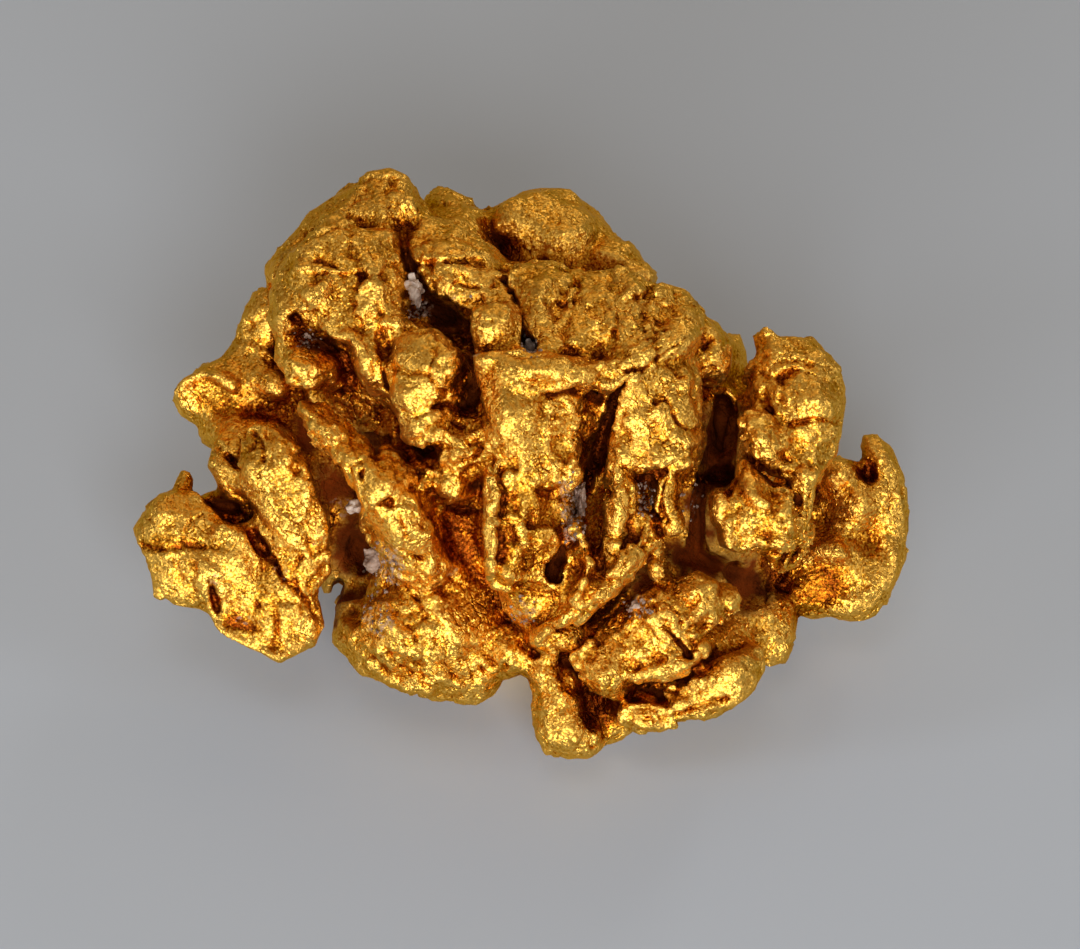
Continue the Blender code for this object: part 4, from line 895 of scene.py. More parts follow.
def front_levels(spots, cell=0.1):
    """For each point, how far it lies below the highest point of the face at its place."""
    across = ((spots[:, 0] + 9.0) / cell).astype(int)
    along = ((spots[:, 1] + 8.0) / cell).astype(int)
    top = np.full((int(18.0 / cell) + 2, int(16.0 / cell) + 2), -99.0)
    np.maximum.at(top, (across, along), spots[:, 2])
    return top[across, along] - spots[:, 2]


def distance_to_route(flat, route):
    """Distance to a route in the plane of the face, and which side of it a point is on."""
    best = np.full(len(flat), 1e9)
    side = np.zeros(len(flat))
    for (x0, y0), (x1, y1) in zip(route[:-1], route[1:]):
        run = np.array((x1 - x0, y1 - y0))
        rel = flat - (x0, y0)
        share = np.clip(rel @ run / (run @ run), 0.0, 1.0)
        away = rel - share[:, None] * run
        far = np.hypot(away[:, 0], away[:, 1])
        nearer = far < best
        best[nearer] = far[nearer]
        side[nearer] = np.sign(run[0] * rel[:, 1] - run[1] * rel[:, 0])[nearer]
    return best, side


def smooth_route(route, steps=5):
    """The route as a smooth curve through its stops."""
    if len(route) < 3:
        return route
    stops = [route[0], *route, route[-1]]
    curve = []
    for before, here, there, after in zip(stops, stops[1:], stops[2:], stops[3:]):
        for step in range(steps):
            t = step / steps
            curve.append(tuple(
                0.5 * (2 * h + (n - b) * t + (2 * b - 5 * h + 4 * n - a) * t * t + (3 * h - b - 3 * n + a) * t ** 3)
                for b, h, n, a in zip(before, here, there, after)
            ))
    return [*curve, route[-1]]


def neighbour_sums(obj):
    """A function that gives the mean of each point's neighbours."""
    mesh = obj.data
    count = len(mesh.vertices)
    ends = np.empty(len(mesh.edges) * 2, dtype=np.int64)
    mesh.edges.foreach_get("vertices", ends)
    first, second = ends.reshape(-1, 2).T
    share = 1.0 / (np.bincount(first, minlength=count) + np.bincount(second, minlength=count))

    def mean_of(spots):
        sums = [
            np.bincount(first, spots[second, axis], count) + np.bincount(second, spots[first, axis], count)
            for axis in range(3)
        ]
        return np.stack(sums, axis=1) * share[:, None]

    return mean_of


def fill_creases(obj, passes):
    """Grows metal into the creases between forms, and leaves their crests as they are."""
    mean_of = neighbour_sums(obj)
    for step in range(passes):
        if step % 5 == 0:
            spots, normals = points_of(obj)
        sunk = ((mean_of(spots) - spots) * normals).sum(axis=1)
        spots += normals * np.where(sunk > 0.0, 0.9 * sunk, 0.12 * sunk)[:, None]
        if step % 5 == 4:
            move_points(obj, spots)
    move_points(obj, spots)


def warp(obj):
    """Bends and shifts the forms with a slow flow, so that none of them stays straight or round."""
    spots, normals = points_of(obj)
    for wavelength, reach in WARPS:
        flow = np.array([noise.noise_vector(spot) for spot in (spots / wavelength).tolist()])
        spots = spots + reach * flow
    move_points(obj, spots)


def add_relief(obj):
    """Cracks, ridges and ledges drawn on the broad face, pressed in or raised on what shows there."""
    spots, normals = points_of(obj)
    below = front_levels(spots)
    facing = np.clip(normals[:, 2] * 1.6 + 0.25, 0.0, 1.0) * np.clip(1.5 - below / 0.35, 0.0, 1.0)
    shown = np.nonzero(facing > 0.0)[0]
    flat = spots[shown, :2] + np.array([
        (0.07 * noise.noise_vector(spot / 0.35) + 0.03 * noise.noise_vector(spot / 0.12))[:2]
        for spot in map(Vector, spots[shown].tolist())
    ])
    broken = np.array([noise.noise(spot) for spot in (spots[shown] / 0.6).tolist()])
    push = np.zeros(len(shown))
    for kind, height, width, *route in RELIEF:
        route = smooth_route(route)
        low = np.min(route, axis=0) - 3 * width
        high = np.max(route, axis=0) + 3 * width
        near = np.nonzero(((flat > low) & (flat < high)).all(axis=1))[0]
        if not len(near):
            continue
        far, side = distance_to_route(flat[near], route)
        if kind == "crack":
            push[near] -= height * np.clip(1.0 - far / width, 0.0, 1.0)
        elif kind == "ridge":
            push[near] += height * np.clip(1.0 - (far / width) ** 2, 0.0, 1.0)
        else:
            push[near] -= np.where(side > 0.0, height * np.exp(-far / width), 0.0)
    push *= np.clip(0.9 + 1.1 * broken, 0.35, 1.3)
    spots[shown] += normals[shown] * (push * facing[shown])[:, None]
    move_points(obj, spots)


def shade_openness(obj, reach=1.3, rays=18):
    """How much of the sky each point sees within reach: 0 deep in a cleft, 1 in the open. The gold's colour paints
    shade from it.
    """
    mesh = obj.data
    mesh.calc_loop_triangles()
    corners = np.empty(len(mesh.loop_triangles) * 3, dtype=np.int32)
    mesh.loop_triangles.foreach_get("vertices", corners)
    spots, normals = points_of(obj)
    tree = BVHTree.FromPolygons(spots.tolist(), corners.reshape(-1, 3).tolist(), all_triangles=True)
    golden = math.pi * (3.0 - math.sqrt(5.0))
    lifts = [1.0 - (i + 0.5) / rays for i in range(rays)]
    fan = np.array([
        (math.cos(golden * i) * math.sqrt(1 - lift), math.sin(golden * i) * math.sqrt(1 - lift), math.sqrt(lift))
        for i, lift in enumerate(lifts)
    ])
    helper = np.where(np.abs(normals[:, 2:3]) < 0.9, (0.0, 0.0, 1.0), (1.0, 0.0, 0.0))
    side = np.cross(normals, helper)
    side /= np.linalg.norm(side, axis=1, keepdims=True)
    other = np.cross(normals, side)
    seen = np.zeros(len(spots))
    starts = spots + normals * 0.02
    for a, b, c in fan:
        aims = side * a + other * b + normals * c
        for i, (start, aim) in enumerate(zip(starts.tolist(), aims.tolist())):
            hit = tree.ray_cast(start, aim, reach)[3]
            seen[i] += 1.0 if hit is None else hit / reach
    return seen / rays


def crests(obj):
    """From 0 along the bottom of cracks to 1 on crests and edges, 0.5 where the skin is flat."""
    mean_of = neighbour_sums(obj)
    spots, normals = points_of(obj)
    broad = spots
    raised = []
    for step in range(1, 13):
        broad = mean_of(broad)
        if step in (3, 12):
            raised.append(((spots - broad) * normals).sum(axis=1))
    raised = raised[0] / 0.07 + raised[1] / 0.3
    for _ in range(2):
        raised = mean_of(np.repeat(raised[:, None], 3, axis=1))[:, 0]
    return np.clip(0.5 + raised, 0.0, 1.0)


def packed_earth_and_shade(obj, sky):
    """How much dark earth colour each point takes: in the deepest clefts, where it is painted shade, and in the
    hollows listed for it, where it is partly packed earth and partly painted shade.
    """
    spots, normals = points_of(obj)
    # painted shade: every point that sees little sky gets the dark earth colour
    earth_and_shade = np.clip((0.4 - sky) / 0.14, 0.0, 1.0)
    ragged = np.array([noise.fractal(spot, 1.0, 2.0, 3) for spot in (spots / 0.45).tolist()])
    below = front_levels(spots)
    for x, y, radius, level in EARTH_AND_SHADE:
        far = np.hypot(spots[:, 0] - x, spots[:, 1] - y) / radius
        deep = np.clip((level - spots[:, 2] + 0.5 * ragged) / 0.5, 0.0, 1.0)
        lit = np.clip(2.0 - 1.7 * far + 0.8 * ragged, 0.0, 1.0) * deep
        earth_and_shade = np.maximum(earth_and_shade, np.where(spots[:, 2] > level - 3.0, lit, 0.0))
    return earth_and_shade


def settled_dust(obj):
    """How much quartz dust lies on each point of the face, in the patches listed for it."""
    spots, normals = points_of(obj)
    return in_patches(spots, DUST) * np.clip(normals[:, 2] * 2.0 + 0.8, 0.0, 1.0) * (spots[:, 2] > -1.5)


def store(obj, name, values):
    layer = obj.data.attributes.new(name, "FLOAT", "POINT")
    layer.data.foreach_set("value", values.astype(np.float32))


def into_place(obj):
    """Tilts the face, sets it where the solids are and scales to metres."""
    lean = Matrix.Rotation(math.radians(FACE_TILT), 4, "X")
    shift = Matrix.Translation((*WORLD_SHIFT, -GROUND))
    obj.data.transform(Matrix.Scale(MM, 4) @ shift @ lean)


def wrinkle(obj):
    """Creases the whole skin with ridged noise at each wavelength, sharp along the crests and soft between them."""
    spots, normals = points_of(obj)
    push = np.zeros(len(spots))
    for wavelength, height in WRINKLES:
        scaled = spots / wavelength
        for i, spot in enumerate(scaled.tolist()):
            push[i] += height * (0.55 - 1.6 * abs(noise.noise(spot)))
    move_points(obj, spots + normals * (push * torn(spots, normals))[:, None])


def in_patches(spots, rows):
    """For each point, the strongest of the patches it's in: 1 within half of a patch, 0 outside it, all times
    the patch's own strength."""
    most = np.zeros(len(spots))
    for x, y, wide, high, turn, strength in rows:
        c, s = math.cos(math.radians(turn)), math.sin(math.radians(turn))
        rel = spots[:, :2] - (x, y)
        far = np.hypot((rel[:, 0] * c + rel[:, 1] * s) / wide, (rel[:, 1] * c - rel[:, 0] * s) / high)
        inside = strength * np.clip(2.0 - 2.0 * far, 0.0, 1.0)
        most = np.where(np.abs(inside) > np.abs(most), inside, most)
    return most


def torn(spots, normals):
    """How torn and beaten the skin is: less where it lies low in the face, or in a patch that stayed smooth."""
    face = np.clip(0.6 + 0.3 * spots[:, 2], 0.4, 1.0) * (1.0 - in_patches(spots, SMOOTH))
    return np.where(normals[:, 2] < -0.1, 0.9, face)


def flake(obj, size, lift, slope, chance):
    """Breaks the skin into flakes that lie a little higher or lower than each other and lean their own way."""
    spots, normals = points_of(obj)
    area = sum(face.area for face in obj.data.polygons)
    picked = chance.sample(range(len(spots)), int(area / (size * size)))
    tree = KDTree(len(picked))
    for i, point in enumerate(picked):
        tree.insert(spots[point], i)
    tree.balance()
    leans = np.array([
        (chance.uniform(-slope, slope), chance.uniform(-slope, slope), chance.uniform(-slope, slope))
        for _ in picked
    ])
    lifts = np.array([chance.uniform(-lift, lift) for _ in picked])
    bent = spots + 0.35 * size * np.array([noise.noise_vector(s) for s in (spots / (0.6 * size)).tolist()])
    owner = np.array([tree.find(spot)[1] for spot in bent.tolist()])
    centres = spots[picked][owner]
    push = lifts[owner] + ((spots - centres) * leans[owner]).sum(axis=1)
    calm = np.array([noise.noise(spot) for spot in (spots / 2.3).tolist()])
    push *= np.clip(0.75 + 1.2 * calm, 0.15, 1.3)
    push = 0.6 * push + 0.4 * neighbour_sums(obj)(np.repeat(push[:, None], 3, axis=1))[:, 0]
    push *= torn(spots, normals)
    move_points(obj, spots + normals * push[:, None])


def beat_flat(obj):
    """Leaves small flat facets with crisp edges, as knocks in a stream bed do."""
    thin = obj.modifiers.new("facets", "DECIMATE")
    thin.ratio = FACETS / triangles_in(obj)
    settle(obj)
    fuse(obj, SKIN_VOXEL)
    relax(obj, 0.5, 1)


def sharpen(obj, strength=0.45, most=0.05):
    """Raises crests and deepens creases about 0.3 mm wide."""
    mean_of = neighbour_sums(obj)
    spots, normals = points_of(obj)
    broad = spots
    for _ in range(12):
        broad = mean_of(broad)
    raised = ((spots - broad) * normals).sum(axis=1)
    move_points(obj, spots + normals * (torn(spots, normals) * np.clip(strength * raised, -most, most))[:, None])


def ground_block():
    """The block that the flat underside is cut with, in the face frame."""
    half = 14.0
    mesh = bmesh.new()
    bmesh.ops.create_cube(mesh, size=2.0 * half)
    obj = object_from(mesh, "ground")
    level = Matrix.Rotation(math.radians(-FACE_TILT), 4, "X")
    obj.data.transform(level @ Matrix.Translation((0.0, 0.0, GROUND - half)))
    return obj


def triangles_in(obj):
    obj.data.calc_loop_triangles()
    return len(obj.data.loop_triangles)


def thin_to(obj, triangles):
    """Thins the mesh, the unseen back more than the face."""
    group = obj.vertex_groups.new(name="back")
    spots, normals = points_of(obj)
    shown = np.clip(normals[:, 2] * 2.0 + 0.6, 0.0, 1.0) * np.clip(1.6 - front_levels(spots) / 1.2, 0.0, 1.0)
    steps = np.round((1.0 - 0.85 * shown) * 10).astype(int)
    for step in range(1, 11):
        group.add(np.nonzero(steps == step)[0].tolist(), step / 10.0, "REPLACE")
    thin = obj.modifiers.new("thin", "DECIMATE")
    thin.vertex_group = group.name
    thin.vertex_group_factor = 1.0
    thin.ratio = min(1.0, triangles / triangles_in(obj))
    thin.use_collapse_triangulate = True
    settle(obj)
    obj.vertex_groups.clear()


def stamp(words):
    print(f"{time.time() - BEGUN:6.1f} s  {words}")


def build_nugget():
    chance = random.Random(BACK_SEED)
    obj = form_of_gold(chance)
    stamp(f"gold, {triangles_in(obj)}")
    fill_creases(obj, FILL_PASSES)
    stamp("creases filled")
    lay_strands(obj)
    fill_creases(obj, STRAND_PASSES)
    warp(obj)
    stamp("warped")
    cut(obj, form_of_clefts(chance), "MANIFOLD")
    stamp("forms")
    fuse(obj, SKIN_VOXEL)
    relax(obj, 0.5, 2)
    crumple(obj, *SWELL)
    crumple(obj, *DIMPLE)
    keep_largest(obj)
    beat_flat(obj)
    stamp("crumpled")
    for size, lift, slope in FLAKES:
        flake(obj, size, lift, slope, chance)
    sharpen(obj)
    stamp("flakes")
    add_relief(obj)
    wrinkle(obj)
    stamp("relief")
    cut(obj, ground_block(), "MANIFOLD")
    keep_largest(obj)
    stamp(f"ground cut, {triangles_in(obj)}")
    thin_to(obj, NUGGET_TRIANGLES)
    stamp(f"thinned, {triangles_in(obj)}")
    # painted shade: the gold's colour turns darker and ruddier where this openness is low
    sky = shade_openness(obj)
    spots, normals = points_of(obj)
    # painted shade and painted highlight: the listed patches lower the openness that the colour reads, and raise it
    # where their strength is negative
    store(obj, "shade_openness", sky - in_patches(spots, RUDDY_SHADE_AND_HIGHLIGHT) * (normals[:, 2] > -0.2))
    store(obj, "earth_and_shade", packed_earth_and_shade(obj, sky))
    store(obj, "crest", crests(obj))
    store(obj, "dust", settled_dust(obj))
    for name, rows, *_ in CRUMBS:
        store(obj, name, np.clip(in_patches(spots, rows) * (1.3 - front_levels(spots) / 1.5), 0.0, 1.0))
    stamp(f"openness {np.percentile(sky, (2, 10, 25, 50, 75, 90)).round(2)}")
    into_place(obj)
    obj.data.shade_smooth()
    obj.data.materials.clear()
    obj.data.materials.append(native_gold())
    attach(obj, "root")
    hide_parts("nugget")
    return obj


def add_chip(mesh, row, chance, corners=14):
    """A broken chip of mineral: the sharp-edged hull of a few scattered corners."""
    shape = placed(*row)
    verts = []
    for _ in range(corners):
        spot = Vector((chance.gauss(0.0, 1.0), chance.gauss(0.0, 1.0), chance.gauss(0.0, 1.0))).normalized()
        verts.append(mesh.verts.new(shape @ (spot * chance.uniform(0.8, 1.0))))
    hull = bmesh.ops.convex_hull(mesh, input=verts, use_existing_faces=False)
    bmesh.ops.delete(mesh, geom=list({*hull["geom_interior"], *hull["geom_unused"]}), context="VERTS")


def crumb_tree():
    """Geometry Nodes that strew broken crumbs over a surface, thickest where an attribute is high."""
    tree = bpy.data.node_groups.new("strewn crumbs", "GeometryNodeTree")
    for name, kind in (("Surface", "Geometry"), ("Where", "String"), ("Density", "Float"), ("Radius", "Float"),
                       ("Seed", "Int"), ("Material", "Material")):
        tree.interface.new_socket(name, in_out="INPUT", socket_type="NodeSocket" + kind)
    tree.interface.new_socket("Crumbs", in_out="OUTPUT", socket_type="NodeSocketGeometry")
    given = add_node(tree, "NodeGroupInput").outputs
    share = add_node(tree, "GeometryNodeInputNamedAttribute", {"data_type": "FLOAT"}, {"Name": given["Where"]})
    thickness = add_node(tree, "ShaderNodeMath", {"operation": "MULTIPLY"},
                         {0: share.outputs["Attribute"], 1: given["Density"]})
    spots = add_node(tree, "GeometryNodeDistributePointsOnFaces", inputs={
        "Mesh": given["Surface"], "Density": thickness.outputs[0], "Seed": given["Seed"]})
    crumb = add_node(tree, "GeometryNodeMeshIcoSphere", inputs={"Radius": given["Radius"], "Subdivisions": 1})
    turn = add_node(tree, "FunctionNodeRandomValue", {"data_type": "FLOAT_VECTOR"}, {
        "Max": (math.tau, math.tau, math.tau), "Seed": given["Seed"]})
    stretch = add_node(tree, "FunctionNodeRandomValue", {"data_type": "FLOAT_VECTOR"}, {
        "Min": (0.35, 0.35, 0.35), "Max": (1.3, 1.3, 1.3), "Seed": given["Seed"]})
    strewn = add_node(tree, "GeometryNodeInstanceOnPoints", inputs={
        "Points": spots.outputs["Points"], "Instance": crumb.outputs["Mesh"],
        "Rotation": turn.outputs["Value"], "Scale": stretch.outputs["Value"]})
    real = add_node(tree, "GeometryNodeRealizeInstances", inputs={"Geometry": strewn.outputs["Instances"]})
    coated = add_node(tree, "GeometryNodeSetMaterial", inputs={
        "Geometry": real.outputs["Geometry"], "Material": given["Material"]})
    add_node(tree, "NodeGroupOutput", inputs={"Crumbs": coated.outputs["Geometry"]})
    return tree


def strew_crumbs(nugget, tree, name, density, radius, seed, stuff, slot):
    """Crumbs that cling to the nugget where the attribute of the same name says."""
    obj = bpy.data.objects.new(name, nugget.data.copy())
    bpy.context.scene.collection.objects.link(obj)
    scatter = obj.modifiers.new("crumbs", "NODES")
    scatter.node_group = tree
    values = {"Where": name, "Density": density / MM ** 2, "Radius": radius * MM, "Seed": seed, "Material": stuff}
    for socket in tree.interface.items_tree:
        if socket.in_out == "INPUT" and socket.name in values:
            scatter[socket.identifier] = values[socket.name]
    settle(obj)
    obj.data.shade_flat()
    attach(obj, "root")
    stamp(f"{name}, {triangles_in(obj)}")
    return obj


def build_grain(name, row, stuff, chance):
    """One wedged grain: chips of quartz grown together, with broken facets."""
    x, y, z, wide, high, deep, *turns = row
    around = placed(*row)
    mesh = bmesh.new()
    add_chip(mesh, (x, y, z, 0.8 * wide, 0.8 * high, 0.8 * deep, *turns), chance, 18)
    for _ in range(GRAIN_CHIPS):
        spot = around @ (Vector([chance.uniform(-1.0, 1.0) for _ in range(3)]).normalized() * 0.5)
        size = [s * chance.uniform(0.4, 0.65) for s in (wide, high, deep)]
        add_chip(mesh, (*spot, *size, *[chance.uniform(-60.0, 60.0) for _ in range(3)]), chance)
    obj = object_from(mesh, name + "_grain")
    fuse(obj, 0.015)
    spots, normals = points_of(obj)
    rough = [noise.noise(spot) for spot in (spots / 0.07).tolist()]
    move_points(obj, spots + normals * (0.02 * np.array(rough))[:, None])
    into_place(obj)
    obj.data.shade_flat()
    obj.data.materials.append(stuff)
    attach(obj, "root")
    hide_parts(name)
    return obj


# ---------------------------------------------------------------- materials

def colour(code):
    """sRGB hex to a linear colour."""
    parts = [int(code[i:i + 2], 16) / 255.0 for i in (1, 3, 5)]
    return (*(p / 12.92 if p <= 0.04045 else ((p + 0.055) / 1.055) ** 2.4 for p in parts), 1.0)


def new_material(name):
    made = bpy.data.materials.new(name)
    made.use_nodes = True
    tree = made.node_tree
    return made, tree, tree.nodes["Principled BSDF"]


def add_node(tree, kind, settings=None, inputs=None):
    """Adds a node, sets its properties, and sets or links its inputs."""
    made = tree.nodes.new(kind)
    for name, value in (settings or {}).items():
        setattr(made, name, value)
    for name, value in (inputs or {}).items():
        if isinstance(value, bpy.types.NodeSocket):
            tree.links.new(value, made.inputs[name])
        else:
            made.inputs[name].default_value = value
    return made


def ramp(tree, factor, stops):
    made = add_node(tree, "ShaderNodeValToRGB", inputs={"Fac": factor})
    elements = made.color_ramp.elements
    while len(elements) < len(stops):
        elements.new(0.5)
    for element, (place, code) in zip(elements, stops):
        element.position = place
        element.color = colour(code)
    return made


def native_gold():
    """Placer gold: soft metal, beaten, torn and scoured. Its colour holds painted shade and painted light: rich
    yellow where it's open, darker and ruddier where it's sheltered, darker in creases, cracks and pores and lighter
    on crests, and deep clefts take a rusty earth colour that is partly packed earth and partly painted shade. Its
    skin is a crust of tiny grains that glint."""
    made, tree, shader = new_material("native gold, crumpled and scoured")
    place = add_node(tree, "ShaderNodeTexCoord").outputs["Object"]
    sky = add_node(tree, "ShaderNodeAttribute", {"attribute_name": "shade_openness"}).outputs["Fac"]
    crest = add_node(tree, "ShaderNodeAttribute", {"attribute_name": "crest"}).outputs["Fac"]
    earth_and_shade = add_node(tree, "ShaderNodeAttribute", {"attribute_name": "earth_and_shade"}).outputs["Fac"]
    dust = add_node(tree, "ShaderNodeAttribute", {"attribute_name": "dust"}).outputs["Fac"]

    # colour: painted shade makes sheltered and creased metal darker and ruddier, with mottling about a millimetre
    # across
    patches = add_node(tree, "ShaderNodeTexNoise", inputs={"Vector": place, "Scale": 1100.0, "Detail": 5.0})
    mottled = add_node(tree, "ShaderNodeMath", {"operation": "MULTIPLY_ADD"},
                       {0: patches.outputs["Fac"], 1: 0.36, 2: -0.18})
    pores = add_node(tree, "ShaderNodeTexNoise", inputs={
        "Vector": place, "Scale": 12000.0, "Detail": 2.0, "Roughness": 0.5})
    # painted shade: the low parts of the pores, which the bump presses in, are darkened
    pitted = add_node(tree, "ShaderNodeMapRange", inputs={
        "Value": pores.outputs["Fac"], "From Min": 0.34, "From Max": 0.5, "To Min": -0.2, "To Max": 0.0})
    seen = add_node(tree, "ShaderNodeMath", {"operation": "ADD"}, {0: sky, 1: mottled.outputs[0]})
    # painted light and shade: crests are painted lighter and the bottoms of creases darker
    crest_light_and_crease_shade = add_node(tree, "ShaderNodeMath", {"operation": "MULTIPLY_ADD"}, {0: crest, 1: 0.6, 2: -0.3})
    shown = add_node(tree, "ShaderNodeMath", {"operation": "ADD"}, {0: seen.outputs[0], 1: crest_light_and_crease_shade.outputs[0]})
    sunk = add_node(tree, "ShaderNodeMath", {"operation": "ADD"},
                    {0: shown.outputs[0], 1: pitted.outputs["Result"]})
    gaps = add_node(tree, "ShaderNodeTexVoronoi", {"feature": "F1"}, {"Vector": place, "Scale": 21000.0})
    between = add_node(tree, "ShaderNodeMapRange", inputs={
        "Value": gaps.outputs["Distance"], "From Min": 0.35, "From Max": 0.75, "To Min": 0.04, "To Max": -0.3})
    speckled = add_node(tree, "ShaderNodeMath", {"operation": "MULTIPLY_ADD"},
                        {0: between.outputs["Result"], 1: sky, 2: sunk.outputs[0]})

    # plates: torn flakes 0.3 mm wide and twice as long, with cracks along some of their edges that the bump presses
    # in and painted shade darkens
    upright = add_node(tree, "ShaderNodeMapping", {"vector_type": "TEXTURE"}, {
        "Vector": place, "Rotation": (math.radians(FACE_TILT), 0.0, 0.0)})
    lengthwise = add_node(tree, "ShaderNodeMapping", {"vector_type": "TEXTURE"}, {
        "Vector": upright.outputs["Vector"], "Rotation": (0.0, 0.0, math.radians(24.0)), "Scale": (1.0, 1.9, 1.4)})
    scour = add_node(tree, "ShaderNodeTexNoise", inputs={"Vector": place, "Scale": 2600.0, "Detail": 3.0})
    bent = add_node(tree, "ShaderNodeVectorMath", {"operation": "MULTIPLY_ADD"}, {
        0: scour.outputs["Color"], 1: (0.0004, 0.0004, 0.0004), 2: lengthwise.outputs["Vector"]})
    plates = add_node(tree, "ShaderNodeTexVoronoi", {"feature": "F1"}, {
        "Vector": bent.outputs["Vector"], "Scale": 3400.0})
    edges = add_node(tree, "ShaderNodeTexVoronoi", {"feature": "DISTANCE_TO_EDGE"}, {
        "Vector": bent.outputs["Vector"], "Scale": 3400.0})
    seams = add_node(tree, "ShaderNodeMapRange", inputs={
        "Value": edges.outputs["Distance"], "From Min": 0.01, "From Max": 0.065, "To Min": 1.0, "To Max": 0.0})
    torn_here = add_node(tree, "ShaderNodeMapRange", inputs={
        "Value": patches.outputs["Fac"], "From Min": 0.49, "From Max": 0.62, "To Min": 0.0, "To Max": 1.0})
    cracks = add_node(tree, "ShaderNodeMath", {"operation": "MULTIPLY"},
                      {0: seams.outputs["Result"], 1: torn_here.outputs["Result"]})
    # painted shade: the cracks darken the colour
    cracked = add_node(tree, "ShaderNodeMath", {"operation": "MULTIPLY_ADD"},
                       {0: cracks.outputs[0], 1: -0.32, 2: speckled.outputs[0]})
    # painted shade: the ramp runs from dark ruddy metal where the skin sees little sky to bright yellow in the open
    tint = ramp(tree, cracked.outputs[0], (
        (0.10, "#5A2406"), (0.32, "#863F0C"), (0.48, "#B06812"), (0.66, "#DC9A2C"), (0.90, "#F4BE54"),
    ))
    # dark earth colour: partly packed earth, partly painted shade in the deepest hollows
    earth_and_shade_tone = ramp(tree, patches.outputs["Fac"], ((0.35, "#481A04"), (0.65, "#84380C")))
    coat = add_node(tree, "ShaderNodeMix", {"data_type": "RGBA"}, {
        "Factor": earth_and_shade, 6: tint.outputs["Color"], 7: earth_and_shade_tone.outputs["Color"]})
    crumbs = add_node(tree, "ShaderNodeTexNoise", inputs={"Vector": place, "Scale": 9000.0, "Detail": 3.0})
    sifted = add_node(tree, "ShaderNodeMath", {"operation": "ADD"}, {0: dust, 1: crumbs.outputs["Fac"]})
    dusty = add_node(tree, "ShaderNodeMapRange", inputs={
        "Value": sifted.outputs[0], "From Min": 1.12, "From Max": 1.3, "To Min": 0.0, "To Max": 0.85})
    powder = add_node(tree, "ShaderNodeMix", {"data_type": "RGBA"}, {
        "Factor": dusty.outputs["Result"], 6: coat.outputs[2], 7: colour("#A8846C")})
    tree.links.new(powder.outputs[2], shader.inputs["Base Color"])
    bare = add_node(tree, "ShaderNodeMath", {"operation": "SUBTRACT", "use_clamp": True}, {0: 1.0, 1: earth_and_shade})
    clean = add_node(tree, "ShaderNodeMath", {"operation": "SUBTRACT", "use_clamp": True},
                     {0: bare.outputs[0], 1: dusty.outputs["Result"]})
    tree.links.new(clean.outputs[0], shader.inputs["Metallic"])
    shader.inputs["Specular IOR Level"].default_value = 0.15
    shader.inputs["Specular Tint"].default_value = colour("#FFDD9A")

    rough = add_node(tree, "ShaderNodeMapRange", inputs={
        "Value": scour.outputs["Fac"], "From Min": 0.3, "From Max": 0.7, "To Min": 0.28, "To Max": 0.44})
    caked = add_node(tree, "ShaderNodeMath", {"operation": "MULTIPLY_ADD", "use_clamp": True},
                     {0: earth_and_shade, 1: 0.5, 2: rough.outputs["Result"]})
    tree.links.new(caked.outputs[0], shader.inputs["Roughness"])

    # skin: soft pores 0.1 mm across, then grains of 0.12 mm and 0.05 mm that each lean their own way
    relief = add_node(tree, "ShaderNodeMath", {"operation": "MULTIPLY_ADD"},
                      {0: cracks.outputs[0], 1: -0.6, 2: pores.outputs["Fac"]})
    skin = add_node(tree, "ShaderNodeBump", inputs={
        "Height": relief.outputs[0], "Strength": 1.0, "Distance": 0.00003})
    normal = skin.outputs["Normal"]
    fine = [add_node(tree, "ShaderNodeTexVoronoi", {"feature": "F1"}, {"Vector": place, "Scale": scale})
            for scale in (9500.0, 22000.0)]
    for grains, strength in zip((plates, *fine), (0.17, 0.2, 0.48)):
        lean = add_node(tree, "ShaderNodeVectorMath", {"operation": "SUBTRACT"},
                        {0: grains.outputs["Color"], 1: (0.5, 0.5, 0.5)})
        leaning = add_node(tree, "ShaderNodeVectorMath", {"operation": "MULTIPLY_ADD"},
                           {0: lean.outputs["Vector"], 1: (strength, strength, strength), 2: normal})
        normal = leaning.outputs["Vector"]
    facet = add_node(tree, "ShaderNodeVectorMath", {"operation": "NORMALIZE"}, {0: normal})
    tree.links.new(facet.outputs["Vector"], shader.inputs["Normal"])
    return made


def vein_quartz(name, pale, stain):
    """Quartz broken from its vein: dull and milky, stained in its cracks."""
    made, tree, shader = new_material(name)
    place = add_node(tree, "ShaderNodeTexCoord").outputs["Object"]
    clouds = add_node(tree, "ShaderNodeTexNoise", inputs={"Vector": place, "Scale": 4500.0, "Detail": 5.0})
    tint = ramp(tree, clouds.outputs["Fac"], ((0.35, stain), (0.6, pale)))
    tree.links.new(tint.outputs["Color"], shader.inputs["Base Color"])
    shader.inputs["Roughness"].default_value = 0.5
    shader.inputs["IOR"].default_value = 1.54
    bump = add_node(tree, "ShaderNodeBump", inputs={
        "Height": clouds.outputs["Fac"], "Strength": 0.8, "Distance": 0.00004})
    tree.links.new(bump.outputs["Normal"], shader.inputs["Normal"])
    return made


def matt_card():
    """Matt grey card."""
    made, tree, shader = new_material("matt grey card")
    shader.inputs["Base Color"].default_value = colour("#B8C3D4")
    shader.inputs["Roughness"].default_value = 0.8
    shader.inputs["Specular IOR Level"].default_value = 0.2
    return made


# ---------------------------------------------------------------- stage

def in_world(x, y, z):
    """A point of the face frame, in metres in the world."""
    lean = Matrix.Rotation(math.radians(FACE_TILT), 3, "X")
    return (lean @ Vector((x, y, z)) + Vector((*WORLD_SHIFT, -GROUND))) * MM


def build_floor():
    mesh = bmesh.new()
    bmesh.ops.create_grid(mesh, x_segments=1, y_segments=1, size=0.6)
    obj = object_from(mesh, "floor")
    obj.data.materials.append(matt_card())


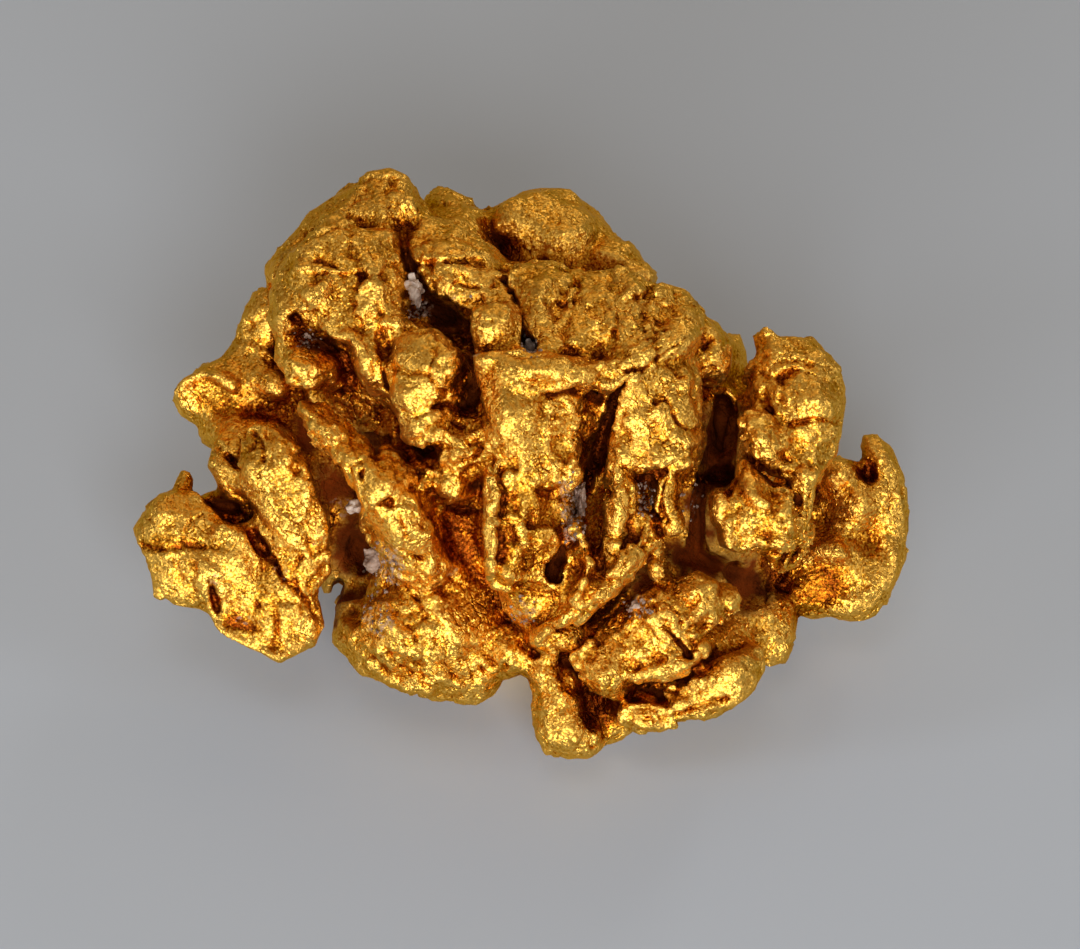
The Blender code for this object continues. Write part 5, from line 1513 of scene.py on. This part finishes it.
def add_camera():
    data = bpy.data.cameras.new("camera")
    obj = bpy.data.objects.new("camera", data)
    bpy.context.scene.collection.objects.link(obj)
    aim = in_world(*CAMERA_AIM)
    back = Vector((0.0, -math.cos(math.radians(CAMERA_RISE)), math.sin(math.radians(CAMERA_RISE))))
    obj.location = aim + back * CAMERA_DISTANCE
    obj.rotation_euler = back.to_track_quat("Z", "Y").to_euler()
    data.lens = CAMERA_LENS
    data.sensor_width = 36.0
    data.clip_start = 0.005
    bpy.context.scene.camera = obj


def add_softbox(name, azimuth, rise, distance, size, power, tint):
    data = bpy.data.lights.new(name, "AREA")
    data.shape = "RECTANGLE"
    data.size, data.size_y = size
    data.energy = power
    data.color = colour(tint)[:3]
    obj = bpy.data.objects.new(name, data)
    bpy.context.scene.collection.objects.link(obj)
    turn, lift = math.radians(azimuth), math.radians(rise)
    back = Vector((math.sin(turn) * math.cos(lift), -math.cos(turn) * math.cos(lift), math.sin(lift)))
    obj.location = in_world(0.0, 0.0, 0.0) + back * distance
    obj.rotation_euler = back.to_track_quat("Z", "Y").to_euler()


def light_stage():
    for row in SOFTBOXES:
        add_softbox(*row)
    world = bpy.data.worlds.new("dim room")
    bpy.context.scene.world = world
    world.use_nodes = True
    background = world.node_tree.nodes["Background"]
    background.inputs["Color"].default_value = colour("#FFE2B8")
    background.inputs["Strength"].default_value = ROOM_LIGHT
    bpy.context.scene.view_settings.view_transform = "Standard"


CAMERA_AIM = (0.8, -0.49, 0.0)   # face frame, mm
CAMERA_RISE = 50.0
CAMERA_DISTANCE = 0.12
CAMERA_LENS = 200.0
ROOM_LIGHT = 0.215
# Softboxes: name, azimuth and rise in degrees, distance, size in metres, watts, tint
SOFTBOXES = (
    ("front", -10.0, 12.0, 0.15, (0.14, 0.045), 0.168, "#FFFDF8"),
    ("key", 8.0, 36.0, 0.17, (0.07, 0.05), 0.088, "#FFFDF8"),
    ("side", 70.0, 22.0, 0.16, (0.04, 0.06), 0.028, "#FFFFFF"),
    ("left", -75.0, 20.0, 0.16, (0.03, 0.05), 0.034, "#FFFFFF"),
    ("top", -20.0, 75.0, 0.2, (0.08, 0.06), 0.02, "#F4F8FF"),
    ("back", 178.0, 42.0, 0.2, (0.2, 0.1), 0.05, "#FFDCA6"),
    ("rim", 150.0, 30.0, 0.18, (0.04, 0.04), 0.02, "#FFFFFF"),
)

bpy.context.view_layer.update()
nugget = build_nugget()
pale = vein_quartz("milky vein quartz, broken", "#C8B8AC", "#7E6256")
stained = vein_quartz("iron-stained vein quartz, broken", "#A0887A", "#54392C")
chance = random.Random(GRAIN_SEED)
for name, row in QUARTZ.items():
    if name in ("quartz_left_hollow", "quartz_long_cleft"):
        build_grain(name, row[0], stained, chance)
    else:
        build_grain(name, row[0], pale, chance)
tree = crumb_tree()
for (name, _, *numbers), stuff, slot in zip(CRUMBS, (nugget.data.materials[0], stained), ("native_gold", "stained_quartz")):
    strew_crumbs(nugget, tree, name, *numbers, stuff, slot)
for name, *_ in CRUMBS:
    nugget.data.attributes.remove(nugget.data.attributes[name])
build_floor()
add_camera()
light_stage()
stamp("scene built")
